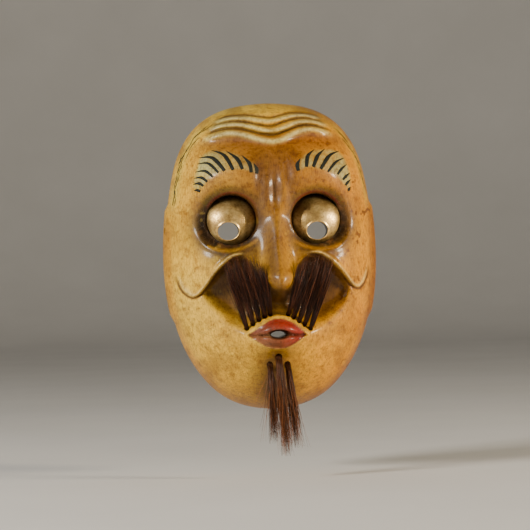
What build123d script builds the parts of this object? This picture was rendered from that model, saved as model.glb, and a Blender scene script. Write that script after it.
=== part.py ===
from build123d import *
import os
import numpy as np

# Carved wooden theatre mask with goggle eyes, pursed lips, moustache and goatee.
# Millimetres.  +Z is up to the crown, -Y is out of the face, +X is to the viewer's right.
# The rear rim lies in the plane y = 0 and z = 0 is half way up the mask.

# ------------------------------------------------------------------ driving dimensions
DEPTH = 56.0            # front surface above the rim plane, before the relief
BACK_DEPTH = 41.0       # depth of the oval bowl that the hollow follows
HOLLOW_FLOOR = 38.0     # the hollow is cut off flat at this depth
BOSS_R, BOSS_H = 19.5, 30.0   # wood left behind each eye
NOSE_POCKET = (1.0, -9.0, 38.0, 10.0)    # x, z, height and radius
MOUTH_POCKET = (0.0, -50.0, 34.0, 14.0)
RIM_WALL = 7.2          # width of the rear rim
FLANGE = 2.0            # how far the ear flanges stand out at the rim
EYES = ((-27.0, 23.6), (27.2, 23.2))     # socket centres, x and z
EYE_R = 16.0            # socket radius
SOCKET_FLOOR = 36.0     # flat floor of the socket above the rim plane
BALL_R = 20.0           # radius of the wooden eyeball
BALL_Y = 30.5           # its centre above the rim plane
BALL_DROP = 2.0         # its centre below the socket centre
PLATE_T = 0.7           # gilt metal eye plate
PLATE_GAP = 0.05
PUPILS = ((-29.4, 16.5), (27.8, 15.6))
PUPIL_RX, PUPIL_RZ = 6.75, 5.65
MOUTH_AT, MOUTH_RX, MOUTH_RZ = (0.1, -49.9), 5.7, 2.3
CORD_Z, CORD_Y, CORD_R = 18.0, -9.0, 2.2
TUFT_R = 1.5            # root of a moustache bundle
HOLE_GAP = 0.05
ROOT_DEPTH = 6.0        # how deep a root goes into the wood

# outline of the rim: height and half width
OUT = np.array([
    (100.7, 0), (99.6, 14.0), (98.4, 23.0), (95.0, 33.6), (91.1, 40.9), (87.1, 45.9), (83.2, 49.8), (79.2, 52.8),
    (75.2, 55.3), (71.3, 57.4), (67.3, 59.1), (63.4, 60.5), (55.4, 62.6), (47.5, 64.2), (39.6, 65.5), (31.7, 66.5),
    (23.8, 67.2), (15.9, 67.7), (8, 68.0), (0, 68.1), (-8, 68.0), (-15.9, 67.6), (-23.8, 66.9), (-31.7, 65.8),
    (-39.6, 64.2), (-47.5, 62.1), (-55.4, 59.4), (-63.4, 55.9), (-71.3, 51.5), (-79.2, 45.9), (-83.2, 42.6),
    (-87.1, 38.7), (-91.1, 34.0), (-95, 27.2), (-98.6, 17.5), (-100.2, 9), (-100.7, 0)])

# moustache bundles: root x, root z, tip x, tip z, tip height, bow of the bundle
MOUSTACHE = {
    "left_1": (-19.5, -45.8, -31.6, -3.2, 60.0, 3.0),
    "left_2": (-15.6, -43.0, -26.3, -1.6, 61.0, 3.0),
    "left_3": (-11.8, -40.4, -20.9, -0.6, 62.0, 3.5),
    "left_4": (-8.1, -38.3, -15.9, -1.4, 63.5, 5.5),
    "left_5": (-4.4, -37.0, -11.3, -4.2, 66.0, 8.0),
    "right_1": (21.4, -46.9, 34.5, -5.0, 60.0, 3.0),
    "right_2": (17.6, -44.3, 29.8, -2.4, 61.0, 3.0),
    "right_3": (14.0, -41.8, 25.2, -1.6, 62.0, 3.5),
    "right_4": (10.5, -39.4, 20.4, -2.2, 63.5, 5.5),
    "right_5": (7.1, -37.3, 15.7, -4.7, 67.0, 8.5),
}
# goatee bundles: root x, root z, root radius, end x, end z, end height
GOATEE = {
    "left": (-5.2, -69.3, 1.9, -3.8, -119.5, 59.0),
    "centre": (0.4, -64.8, 2.3, 3.6, -127.5, 61.0),
    "right": (6.2, -69.6, 2.0, 10.8, -123.0, 59.0),
}

# ------------------------------------------------------------------ surface of the face


def outline_table():
    z, w = OUT[:, 0], OUT[:, 1]
    th, R = np.arctan2(z, w), np.hypot(z, w)
    o = np.argsort(th)
    th, R = th[o], R[o]
    ft = np.concatenate([th, (np.pi - th)[::-1][1:-1]])
    fr = np.concatenate([R, R[::-1][1:-1]])
    g = np.linspace(-np.pi / 2, 1.5 * np.pi, 721)
    c = np.fft.rfft(np.interp(g, ft, fr, period=2 * np.pi)[:-1])
    c *= np.exp(-(np.arange(len(c)) / 26.0) ** 2)
    Rs = np.fft.irfft(c, 720)
    return g, np.append(Rs, Rs[0])


GT, RT = outline_table()


def outline(th):
    return np.interp(np.mod(th + np.pi / 2, 2 * np.pi) - np.pi / 2, GT, RT)


def S(t):
    t = np.clip(t, 0, 1)
    return t * t * (3 - 2 * t)


def G(X, Z, cx, cz, sx, sz, rot=0.0):
    c, s = np.cos(np.radians(rot)), np.sin(np.radians(rot))
    a, b = (X - cx) * c + (Z - cz) * s, -(X - cx) * s + (Z - cz) * c
    return np.exp(-0.5 * ((a / sx) ** 2 + (b / sz) ** 2))


def curve(P, n=12):
    P = np.asarray(P, float)
    Q = [P[0]]
    for i in range(len(P) - 1):
        p0, p1, p2, p3 = P[max(i - 1, 0)], P[i], P[i + 1], P[min(i + 2, len(P) - 1)]
        for t in np.linspace(0, 1, n + 1)[1:]:
            Q.append(0.5 * ((2 * p1) + (p2 - p0) * t + (2 * p0 - 5 * p1 + 4 * p2 - p3) * t * t
                            + (3 * p1 - p0 - 3 * p2 + p3) * t ** 3))
    return np.array(Q)


def near(X, Z, P):
    """distance to a polyline, share of the way along it, and side of it"""
    d, u, sd = np.full(X.shape, 1e3), np.zeros(X.shape), np.ones(X.shape)
    L = np.concatenate([[0], np.cumsum(np.hypot(*np.diff(P, axis=0).T))])
    L /= L[-1]
    for i in range(len(P) - 1):
        (ax, az), (bx, bz) = P[i], P[i + 1]
        ex, ez = bx - ax, bz - az
        t = np.clip(((X - ax) * ex + (Z - az) * ez) / (ex * ex + ez * ez + 1e-12), 0, 1)
        dx, dz = X - ax - t * ex, Z - az - t * ez
        q = np.hypot(dx, dz)
        k = q < d
        d, u, sd = np.where(k, q, d), np.where(k, L[i] + t * (L[i + 1] - L[i]), u), np.where(k, np.sign(ex * dz - ez * dx), sd)
    return d, u, sd


def taper(u, a=0.15, b=0.15):
    return S(u / a) * S((1 - u) / b)


R1 = [(-38.2, 86.1), (-26.7, 89.6), (-12.6, 89.2), (1.0, 87.2), (15.1, 90.4), (30.3, 89.7), (36.6, 87.4)]
R2 = [(-42.0, 81.2), (-27.1, 85.4), (-13.0, 83.8), (1.2, 80.4), (14.7, 84.9), (27.4, 86.5), (40.2, 82.6)]
R3 = [(-46.0, 74.6), (-32.4, 79.2), (-18.2, 78.4), (1.3, 73.4), (14.1, 78.0), (26.9, 81.3), (42.4, 76.6)]
FOLD_L = [(-18.5, 1.2), (-27.8, -0.6), (-36.6, -8.1), (-42.6, -16.2), (-48.0, -22.6), (-52.8, -24.9), (-58.0, -21.3), (-61.0, -15.1)]
FOLD_R = [(19.5, 1.0), (29.0, 0.2), (37.6, -5.6), (44.6, -13.2), (49.8, -19.6), (54.4, -21.5), (58.2, -18.6), (60.8, -12.8)]
UP_X = [0, 9, 14, 19, 27.5, 36.6, 43.2, 48.4, 53, 60]
UP_L = [-26, -20, -6, -0.5, -0.8, -8.6, -17.2, -23.4, -26.2, -27]
UP_R = [-26, -20, -6, -0.5, -0.4, -6.0, -12.8, -19.2, -22.4, -23]
LO_X = [0, 6, 12, 19.3, 28.2, 37.1, 44.6, 50, 60]
LO_L = [-38.5, -39.5, -43, -49.0, -43.4, -35.7, -29.0, -25.5, -25]
LO_R = [-38.5, -39.5, -43, -49.0, -45.0, -38.9, -33.0, -22.5, -22]


def relief(X, Z):
    """brows, nose, cheeks, hollows, muzzle and chin, in mm towards the viewer"""
    A, left = np.abs(X), X < 0
    F = 2.5 * G(X, Z, 0, 82, 34, 12) + 1.5 * G(X, Z, 0, 66, 10, 8)
    F -= 2.4 * (G(X, Z, -24, 73, 16, 3.6, 4) + G(X, Z, 25, 74, 16, 3.6, -4))
    for sx, (cx, cz) in zip((-1, 1), EYES):
        F += 5.4 * G(X, Z, sx * 23, 57, 12, 7.0, -sx * 8) + 3.8 * G(X, Z, sx * 42, 50, 9, 8, -sx * 35) + 3.0 * G(X, Z, sx * 17, 47, 8, 6)
        r, a = np.hypot(X - cx, (Z - cz) * 1.03), np.arctan2(Z - cz, (X - cx) * sx)
        side = 0.5 - 0.5 * np.cos(a - np.radians(128))
        F -= (1.5 + 6.0 * side ** 1.3) * np.exp(-((r - 15.0) / (4.2 + 2.4 * side)) ** 2)
        F += 3.0 * G(X, Z, sx * 36, -1.5, 12, 9, -sx * 20) + 2.0 * G(X, Z, sx * 50, -12, 8, 14, 0) + 1.5 * G(X, Z, sx * 18, 3, 7, 5)
    zt = np.array([36, 27, 19, 10, 2, -6, -13, -18.5, -22, -25.5, -29])
    ht = np.array([1.0, 2.5, 6.0, 9.5, 13.5, 18.0, 22.0, 24.0, 21.5, 10.0, 0.0])
    wt = np.array([4.6, 4.8, 5.4, 6.0, 6.8, 7.8, 8.4, 8.2, 7.2, 6.4, 6.4])
    hz, wz = np.interp(-Z, -zt, ht), np.interp(-Z, -zt, wt)
    xc = 0.8 + 1.2 * S((8 - Z) / 25)
    F += hz * np.exp(-np.abs((X - xc) / wz) ** 1.9) * S((38 - Z) / 10)
    for sx in (-1, 1):
        F += 7.5 * G(X, Z, xc + sx * 7.8, -13.8, 3.0, 4.4, sx * 12)
        F -= 2.6 * G(X, Z, xc + sx * 12.6, -12, 2.0, 6, sx * 8)
    zu = np.where(left, np.interp(A, UP_X, UP_L), np.interp(A, UP_X, UP_R))
    zl = np.where(left, np.interp(A, LO_X, LO_L), np.interp(A, LO_X, LO_R))
    F -= np.interp(A, [0, 8, 16, 30, 42, 50, 54], [3.0, 6.0, 9.5, 11.0, 8.5, 3.0, 0]) * S((zu - Z) / 3.4) * S((Z - zl + 3) / 15.0)
    F += 7.0 * G(X, Z, 0, -66, 20, 15) + 3.0 * G(X, Z, 0, -80, 24, 10)
    F += 2.0 * G(X, Z, -36, -55, 16, 12) + 2.0 * G(X, Z, 36, -55, 16, 12)
    F += 11.0 * np.exp(-(np.abs(X / 17.5) ** 2.2) - np.abs((Z + 49.5) / 10.5) ** 2.6) + 3.0 * G(X, Z, 0, -48, 12, 7)
    F -= 2.2 * G(X, Z, 0, -64.5, 9, 2.6)
    # rolls of the forehead, of the frown and of the cheeks, and the pursed lips
    for P, a, w in ((R1, 1.0, 1.9), (R2, 1.1, 2.0), (R3, 1.7, 2.6)):
        d, u, s = near(X, Z, curve(P, 6))
        F += a * np.exp(-(d / w) ** 2) * taper(u)
    for sx in (-1, 1):
        d, u, s = near(X, Z, curve([(sx * 4.4 + 0.8, 60), (sx * 5.4 + 0.8, 38), (sx * 4.6 + 0.8, 24)], 6))
        F += 2.6 * np.exp(-(d / 3.4) ** 2) * taper(u, .35, .35)
    for P, up in ((FOLD_L, 1), (FOLD_R, -1)):
        d, u, s = near(X, Z, curve(P, 6))
        F += 1.4 * np.exp(-((s * up * d + 1.2) / 2.2) ** 2) * taper(u, .12, .22)
    F += 1.8 * np.exp(-np.abs(X / 15.0) ** 3) * (np.exp(-((Z + 44.6 + 0.010 * X * X) / 2.4) ** 2) + np.exp(-((Z + 54.8 - 0.012 * X * X) / 2.4) ** 2))
    return F


STEP, X0, Z0 = 0.5, -78.0, -108.0


def blur(F, sig):
    k = np.arange(-int(4 * sig) - 1, int(4 * sig) + 2)
    w = np.exp(-0.5 * (k / sig) ** 2)
    w /= w.sum()
    F = np.pad(F, len(k) // 2, mode='edge')
    F = np.apply_along_axis(lambda v: np.convolve(v, w, 'valid'), 0, F)
    return np.apply_along_axis(lambda v: np.convolve(v, w, 'valid'), 1, F)


XR, ZR = np.meshgrid(np.arange(X0, -X0 + 0.1, STEP), np.arange(Z0, -Z0 + 0.1, STEP), indexing='ij')
RELIEF = blur(relief(XR, ZR), 5.0)


def sample(X, Z):
    a, b = (X - X0) / STEP, (Z - Z0) / STEP
    i, j = np.floor(a).astype(int), np.floor(b).astype(int)
    a, b = a - i, b - j
    F = RELIEF
    return (F[i, j] * (1 - a) * (1 - b) + F[i + 1, j] * a * (1 - b) + F[i, j + 1] * (1 - a) * b + F[i + 1, j + 1] * a * b)


def front_height(X, Z):
    X, Z = np.asarray(X, float), np.asarray(Z, float)
    rho = np.hypot(X, Z) / outline(np.arctan2(Z, X))
    n = 2.75 + 0.35 * np.tanh(Z / 45.0)
    return DEPTH * np.sqrt(np.clip(1 - np.clip(rho, 0, 1) ** n, 0, 1)) + sample(X, Z) * S((1 - rho) / 0.09)


def bowl(rho):
    return np.minimum(HOLLOW_FLOOR, BACK_DEPTH * np.sqrt(np.clip(1 - np.clip(rho, 0, 1) ** 2.7, 0, 1)))


def back_height(x, z):
    """depth of the hollow above the rim plane, without the eye bosses"""
    h = float(bowl(np.hypot(x, z) / (outline(np.arctan2(z, x)) - RIM_WALL)))
    for px, pz, ph, pr in (NOSE_POCKET, MOUTH_POCKET):
        d = np.hypot(x - px, z - pz)
        if d < pr:
            h = max(h, ph + float(np.sqrt(pr * pr - d * d)))
    return h


def flange(th, Z):
    return FLANGE * S((36.5 - Z) / 6.0) * S((Z + 44) / 8.0)


def skin(n, m):
    """face over a square net of points on the oval, a little past the rim plane"""
    s, t = np.meshgrid(np.linspace(-1, 1, n), np.linspace(-1, 1, m), indexing='ij')
    p, q = s * np.sqrt(1 - t ** 2 / 2), t * np.sqrt(1 - s ** 2 / 2)
    r, th = np.hypot(p, q) * 1.06, np.arctan2(q, p)
    rho = np.sin(r * np.pi / 2)
    O = outline(th)
    X, Z = rho * O * np.cos(th), rho * O * np.sin(th)
    k = 2.75 + 0.35 * np.tanh(Z / 45.0)
    h = np.where(r <= 1, front_height(X, Z), -DEPTH * np.sqrt(np.clip(1 - np.clip(rho, 0, 1) ** k, 0, 1)))
    X = X + np.sign(np.cos(th)) * flange(th, O * np.sin(th)) * np.abs(np.cos(th)) * S((rho - 0.92) / 0.075)
    pts = [[(float(X[i, j]), float(-h[i, j]), float(Z[i, j])) for j in range(m)] for i in range(n)]
    return Face.make_surface_from_array_of_points(pts, tol=0.1, min_deg=3, max_deg=8)


def oval(h, k, n=36):
    """the hollow's outline, scaled by k, at height h"""
    th = np.linspace(0, 2 * np.pi, n, endpoint=False)
    O = (outline(th) - RIM_WALL) * k
    return Face(Wire([Edge.make_spline([Vector(float(o * np.cos(t)), -h, float(o * np.sin(t))) for o, t in zip(O, th)], periodic=True)]))


def along_y(shape, x, z, h0, h1):
    """extrude a sketch, drawn in x and z, from height h0 to height h1 above the rim plane"""
    pl = Plane(origin=(x, -h0, z), x_dir=(1, 0, 0), z_dir=(0, -1, 0))
    return extrude(pl * shape, h1 - h0)


# ------------------------------------------------------------------ shell
block = Pos(0, -60, 0) * Box(200, 120, 240)
outer = min(block.split(skin(44, 60), keep=Keep.ALL), key=lambda s: s.volume)
levels = (-3.0, 0.0, 9.0, 18.0, 26.0, 33.0, HOLLOW_FLOOR)
hollow = loft([oval(h, 1.0 if h <= 0 else (1 - (h / BACK_DEPTH) ** 2) ** (1 / 2.7)) for h in levels])
for cx, cz in EYES:
    hollow -= Plane(origin=(cx, -BOSS_H - 10, cz), x_dir=(1, 0, 0), z_dir=(0, -1, 0)) * Cone(BOSS_R, BOSS_R + 4.5, 20)
for px, pz, ph, pr in (NOSE_POCKET, MOUTH_POCKET):
    hollow += Pos(px, -ph, pz) * Sphere(pr)
shell = outer - hollow
print("blank", round(outer.volume), "hollow", round(hollow.volume), "shell", round(shell.volume), shell.is_valid)

plates = []
for (cx, cz), (px, pz) in zip(EYES, PUPILS):
    ball = Pos(cx, -BALL_Y, cz - BALL_DROP) * Sphere(BALL_R)
    shell -= along_y(Circle(EYE_R), cx, cz, SOCKET_FLOOR, 95) - ball
    shell -= along_y(Ellipse(PUPIL_RX + 0.6, PUPIL_RZ + 0.6), px, pz, 5, 95)
    cap = Pos(cx, -BALL_Y, cz - BALL_DROP) * Sphere(BALL_R + PLATE_GAP + PLATE_T)
    cap -= Pos(cx, -BALL_Y, cz - BALL_DROP) * Sphere(BALL_R + PLATE_GAP)
    cap &= along_y(Circle(EYE_R - 0.15), cx, cz, SOCKET_FLOOR + 0.1, 95)
    cap -= along_y(Ellipse(PUPIL_RX, PUPIL_RZ), px, pz, 5, 95)
    plates.append(cap)
shell -= along_y(Ellipse(MOUTH_RX, MOUTH_RZ), MOUTH_AT[0], MOUTH_AT[1], 5, 95)
for sx in (-1, 1):
    shell -= Pos(sx * 66, CORD_Y, CORD_Z) * Rot(0, 90, 0) * Cylinder(CORD_R, 30)

# ------------------------------------------------------------------ hair bundles, their holes and pegs


def bundle(path, radii, flat):
    """loft of ellipses, wide in x, along a path of (x, height, z)"""
    P = np.array(path)
    secs = []
    for i, p in enumerate(P):
        d = P[min(i + 1, len(P) - 1)] - P[max(i - 1, 0)]
        if i == 0:
            d = np.array([0, 1.0, 0])
        d = d / np.linalg.norm(d)
        pl = Plane(origin=(p[0], -p[1], p[2]), x_dir=(1, 0, 0) if i == 0 else tuple(np.cross(np.cross((d[0], -d[1], d[2]), (1, 0, 0)), (d[0], -d[1], d[2]))),
                   z_dir=(d[0], -d[1], d[2]))
        secs.append(pl * Ellipse(radii[i], radii[i] * flat[i]))
    return loft(secs)


nodes = {}
clear = []
for name, (rx, rz, tx, tz, th_, bow) in MOUSTACHE.items():
    hs = float(front_height(rx, rz))
    h0 = hs - 0.4
    path, rad, flt = [(rx, h0, rz), (rx, hs + 1.2, rz + 0.25)], [TUFT_R, TUFT_R], [1.0, 0.98]
    for t in (0.07, 0.2, 0.4, 0.6, 0.8, 1.0):
        u = t
        x, z = rx + (tx - rx) * u, rz + (tz - rz) * u
        h = (hs + 2.6) * (1 - u) + th_ * u + bow * np.sin(np.pi * u)
        path.append((x, h, z))
        rad.append(TUFT_R + (1.85 - TUFT_R) * min(1, u / 0.5) if u < 0.9 else 1.6)
        flt.append(0.95 - 0.45 * u)
        clear.append((name, round(u, 2), round(float(h - rad[-1] * flt[-1] - max(front_height(x + k, z) for k in (-1.6, 0, 1.6))), 2)))
    hair = bundle(path, rad, flt)
    hb = float(back_height(rx, rz))
    root = along_y(Circle(TUFT_R), rx, rz, hs - ROOT_DEPTH, h0)
    nodes["moustache_tuft_" + name] = root + hair
    shell -= along_y(Circle(TUFT_R + HOLE_GAP), rx, rz, hb - 8, 95)
    nodes["moustache_peg_" + name] = along_y(Circle(TUFT_R), rx, rz, hb + 0.6, hs - ROOT_DEPTH)
for name, (rx, rz, rr, ex, ez, eh) in GOATEE.items():
    hs = float(front_height(rx, rz))
    h0 = hs - 0.5
    path, rad, flt = [(rx, h0, rz), (rx, hs + 1.6, rz - 0.3)], [rr, rr], [1.0, 0.98]
    for t in (0.06, 0.2, 0.4, 0.6, 0.8, 1.0):
        x, z = rx + (ex - rx) * t, rz + (ez - rz) * t
        h = (hs + 3.6 + 6.0 * S(t / 0.35)) * (1 - t) + eh * t
        path.append((x, h, z))
        rad.append(rr * (1 + 0.38 * np.sin(np.pi * min(t, 0.9) / 1.2)))
        flt.append(0.95 - 0.35 * t)
        clear.append((name, round(t, 2), round(float(h - rad[-1] * flt[-1] - front_height(x, max(z, -100))), 2)))
    hair = bundle(path, rad, flt)
    hb = float(back_height(rx, rz))
    root = along_y(Circle(rr), rx, rz, hs - ROOT_DEPTH, h0)
    nodes["goatee_tuft_" + name] = root + hair
    shell -= along_y(Circle(rr + HOLE_GAP), rx, rz, hb - 8, 95)
    nodes["goatee_peg_" + name] = along_y(Circle(rr), rx, rz, hb + 0.6, hs - ROOT_DEPTH)

nodes = {"mask_shell": shell, "eye_plate_left": plates[0], "eye_plate_right": plates[1], **nodes}

os.makedirs("parts", exist_ok=True)
for name, part in nodes.items():
    part.label = name
    export_step(part, f"parts/{name}.step")
    bb = part.bounding_box()
    print(f"{name:26s} valid={part.is_valid} solids={len(part.solids())} vol={part.volume:10.1f} "
          f"x {bb.min.X:7.2f} {bb.max.X:7.2f} y {bb.min.Y:7.2f} {bb.max.Y:7.2f} z {bb.min.Z:7.2f} {bb.max.Z:7.2f}")
names = [n for n in nodes if "tuft" in n]
for i, a in enumerate(names):
    for b in names[i + 1:]:
        if a[:4] == b[:4] and nodes[a].distance_to(nodes[b]) < 0.05:
            print("  close pair", a, b, round(nodes[a].distance_to(nodes[b]), 3))
print("least clearance of the hair over the face:")
for c in clear:
    if c[2] < 0.6:
        print("  ", c)
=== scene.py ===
import bpy, math
import numpy as np
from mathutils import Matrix, Quaternion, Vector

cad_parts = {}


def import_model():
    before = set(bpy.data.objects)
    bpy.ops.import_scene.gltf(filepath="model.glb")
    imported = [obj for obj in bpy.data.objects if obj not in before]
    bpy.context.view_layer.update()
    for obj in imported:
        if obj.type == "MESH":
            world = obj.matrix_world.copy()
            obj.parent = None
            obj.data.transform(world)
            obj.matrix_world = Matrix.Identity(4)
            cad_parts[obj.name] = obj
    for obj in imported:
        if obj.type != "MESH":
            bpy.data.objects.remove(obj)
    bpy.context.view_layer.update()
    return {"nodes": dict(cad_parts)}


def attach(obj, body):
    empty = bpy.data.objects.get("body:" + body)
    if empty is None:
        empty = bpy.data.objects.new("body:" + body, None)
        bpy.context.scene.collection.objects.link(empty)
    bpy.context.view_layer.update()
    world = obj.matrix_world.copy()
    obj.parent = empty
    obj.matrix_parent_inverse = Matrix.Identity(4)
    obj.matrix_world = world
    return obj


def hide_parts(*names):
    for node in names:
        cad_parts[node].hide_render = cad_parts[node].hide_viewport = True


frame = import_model()
sc = bpy.context.scene
rng = np.random.default_rng(7)

# ================================================================ the carved surface, in mm
# ---------------------------------------------------------------- outline of the rim: height, half width, mm
OUT = np.array([
 (100.7,0),(99.6,14.0),(98.4,23.0),(95.0,33.6),(91.1,40.9),(87.1,45.9),(83.2,49.8),(79.2,52.8),(75.2,55.3),(71.3,57.4),(67.3,59.1),(63.4,60.5),
 (55.4,62.6),(47.5,64.2),(39.6,65.5),(31.7,66.5),(23.8,67.2),(15.9,67.7),(8,68.0),(0,68.1),(-8,68.0),(-15.9,67.6),(-23.8,66.9),
 (-31.7,65.8),(-39.6,64.2),(-47.5,62.1),(-55.4,59.4),(-63.4,55.9),(-71.3,51.5),(-79.2,45.9),(-83.2,42.6),(-87.1,38.7),(-91.1,34.0),
 (-95,27.2),(-98.6,17.5),(-100.2,9),(-100.7,0)])
def _outline_table():
    z, w = OUT[:, 0], OUT[:, 1]
    th, R = np.arctan2(z, w), np.hypot(z, w)
    o = np.argsort(th); th, R = th[o], R[o]
    ft = np.concatenate([th, (np.pi - th)[::-1][1:-1]]); fr = np.concatenate([R, R[::-1][1:-1]])
    g = np.linspace(-np.pi/2, 1.5*np.pi, 721)
    Rg = np.interp(g, ft, fr, period=2*np.pi)
    c = np.fft.rfft(Rg[:-1]); k = np.arange(len(c)); c *= np.exp(-(k/26.0)**2)
    Rs = np.fft.irfft(c, 720)
    return g, np.append(Rs, Rs[0])
_G, _RG = _outline_table()
def outline(th):
    return np.interp(np.mod(th + np.pi/2, 2*np.pi) - np.pi/2, _G, _RG)
# ---------------------------------------------------------------- small tools
def S(t):
    t = np.clip(t, 0, 1); return t*t*(3 - 2*t)
def G(X, Z, cx, cz, sx, sz, rot=0.0):
    c, s = np.cos(np.radians(rot)), np.sin(np.radians(rot))
    a, b = (X-cx)*c + (Z-cz)*s, -(X-cx)*s + (Z-cz)*c
    return np.exp(-0.5*((a/sx)**2 + (b/sz)**2))
def curve(P, n=12):
    P = np.asarray(P, float); Q = [P[0]]
    for i in range(len(P)-1):
        p0 = P[max(i-1, 0)]; p1 = P[i]; p2 = P[i+1]; p3 = P[min(i+2, len(P)-1)]
        for t in np.linspace(0, 1, n+1)[1:]:
            Q.append(0.5*((2*p1) + (p2-p0)*t + (2*p0-5*p1+4*p2-p3)*t*t + (3*p1-p0-3*p2+p3)*t**3))
    return np.array(Q)
def near(X, Z, P, reach):
    """distance to a polyline, share along it and side (+ is left of its direction), inf beyond reach"""
    d = np.full(X.shape, 1e3); u = np.zeros(X.shape); sd = np.ones(X.shape)
    L = np.concatenate([[0], np.cumsum(np.hypot(*np.diff(P, axis=0).T))]); L /= L[-1]
    m = (X > P[:, 0].min()-reach) & (X < P[:, 0].max()+reach) & (Z > P[:, 1].min()-reach) & (Z < P[:, 1].max()+reach)
    x, z = X[m], Z[m]; dm = d[m]; um = u[m]; sm = sd[m]
    for i in range(len(P)-1):
        ax, az = P[i]; bx, bz = P[i+1]; ex, ez = bx-ax, bz-az; ll = ex*ex+ez*ez + 1e-12
        t = np.clip(((x-ax)*ex + (z-az)*ez)/ll, 0, 1)
        dx, dz = x-ax-t*ex, z-az-t*ez; q = np.hypot(dx, dz); k = q < dm
        dm = np.where(k, q, dm); um = np.where(k, L[i] + t*(L[i+1]-L[i]), um); sm = np.where(k, np.sign(ex*dz - ez*dx), sm)
    d[m] = dm; u[m] = um; sd[m] = sm
    return d, u, sd
def taper(u, a=0.15, b=0.15):
    return S(u/a)*S((1-u)/b)
# ---------------------------------------------------------------- carved lines
EYE = ((-27.0, 23.6), (27.2, 23.2)); EYE_R = 16.0
G1 = [(-36.5, 87.6), (-29.0, 90.9), (-21.9, 91.9), (-14.8, 91.9), (-7.7, 90.8), (0.2, 89.6), (6.6, 91.0), (13.5, 92.7), (20.3, 92.6), (27.9, 91.4), (36.0, 88.2)]
R1 = [(-38.2, 86.1), (-32.4, 88.4), (-26.7, 89.6), (-19.6, 89.9), (-12.6, 89.2), (-5.5, 87.6), (1.0, 87.2), (8.0, 88.8), (15.1, 90.4), (22.7, 90.9), (30.3, 89.7), (36.6, 87.4)]
G2 = [(-39.5, 83.6), (-31.8, 86.7), (-24.6, 87.6), (-17.6, 87.2), (-10.5, 85.6), (-3.5, 84.1), (1.8, 84.1), (8.2, 86.3), (15.9, 88.5), (22.5, 89.0), (30.0, 87.8), (38.6, 84.9)]
R2 = [(-42.0, 81.2), (-34.2, 84.4), (-27.1, 85.4), (-20.0, 85.3), (-13.0, 83.8), (-6.0, 81.5), (1.2, 80.4), (8.0, 82.2), (14.7, 84.9), (20.8, 86.4), (27.4, 86.5), (33.9, 85.0), (40.2, 82.6)]
G3 = [(-42.6, 78.4), (-36.8, 81.3), (-29.7, 82.7), (-20.3, 82.5), (-13.2, 80.7), (-6.2, 78.6), (1.2, 77.9), (9.0, 80.2), (17.0, 83.2), (24.6, 84.1), (32.2, 82.9), (41.0, 80.0)]
R3 = [(-46.0, 74.6), (-39.5, 77.1), (-32.4, 79.2), (-25.3, 79.7), (-18.2, 78.4), (-11.2, 76.1), (-4.8, 74.2), (1.3, 73.4), (8.0, 74.9), (14.1, 78.0), (20.3, 80.4), (26.9, 81.3), (34.4, 79.7), (42.4, 76.6)]
FOLD_L = [(-18.5, 1.2), (-27.8, -0.6), (-36.6, -8.1), (-42.6, -16.2), (-48.0, -22.6), (-52.8, -24.9), (-58.0, -21.3), (-61.0, -15.1), (-62.4, -9.0)]
FOLD_R = [(19.5, 1.0), (29.0, 0.2), (37.6, -5.6), (44.6, -13.2), (49.8, -19.6), (54.4, -21.5), (58.2, -18.6), (60.8, -12.8), (62.2, -6.7)]
LIP = [(-19.3, -50.2), (-15.8, -47.4), (-10.8, -44.2), (-6.6, -41.4), (-3.4, -40.0), (0.4, -39.6), (4.5, -40.1), (9.2, -42.2), (14.1, -45.6), (19.0, -50.4),
       (12.6, -55.0), (7.7, -57.7), (3.8, -59.0), (-0.6, -59.3), (-5.7, -58.5), (-9.6, -56.9), (-13.8, -54.2)]
ZUP_X = [0, 9, 14, 19, 27.5, 36.6, 43.2, 48.4, 53, 60]; 
ZUP_L = [-26, -20, -6, -0.5, -0.8, -8.6, -17.2, -23.4, -26.2, -27]
ZUP_R = [-26, -20, -6, -0.5, -0.4, -6.0, -12.8, -19.2, -22.4, -23]
ZLO_X = [0, 6, 12, 19.3, 28.2, 37.1, 44.6, 50, 60]
ZLO_L = [-38.5, -39.5, -43, -49.0, -43.4, -35.7, -29.0, -25.5, -25]
ZLO_R = [-38.5, -39.5, -43, -49.0, -45.0, -38.9, -33.0, -22.5, -22]
def lip_inside(X, Z):
    """signed distance, + inside the lips' almond"""
    P = curve(LIP[:10], 6); Q = curve(LIP[9:] + LIP[:1], 6); A = np.vstack([P, Q[1:]])
    d, u, s = near(X, Z, A, 30)
    ins = np.zeros(X.shape, bool); n = len(A)
    for i in range(n):
        (x1, z1), (x2, z2) = A[i], A[(i+1) % n]
        c = ((z1 > Z) != (z2 > Z)) & (X < (x2-x1)*(Z-z1)/(z2-z1+1e-12) + x1); ins ^= c
    return np.where(ins, d, -d)
def base(rho, Z):
    n = 2.75 + 0.35*np.tanh(Z/45.0)
    return 56.0*np.sqrt(np.clip(1 - np.clip(rho, 0, 1)**n, 0, 1))
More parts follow.
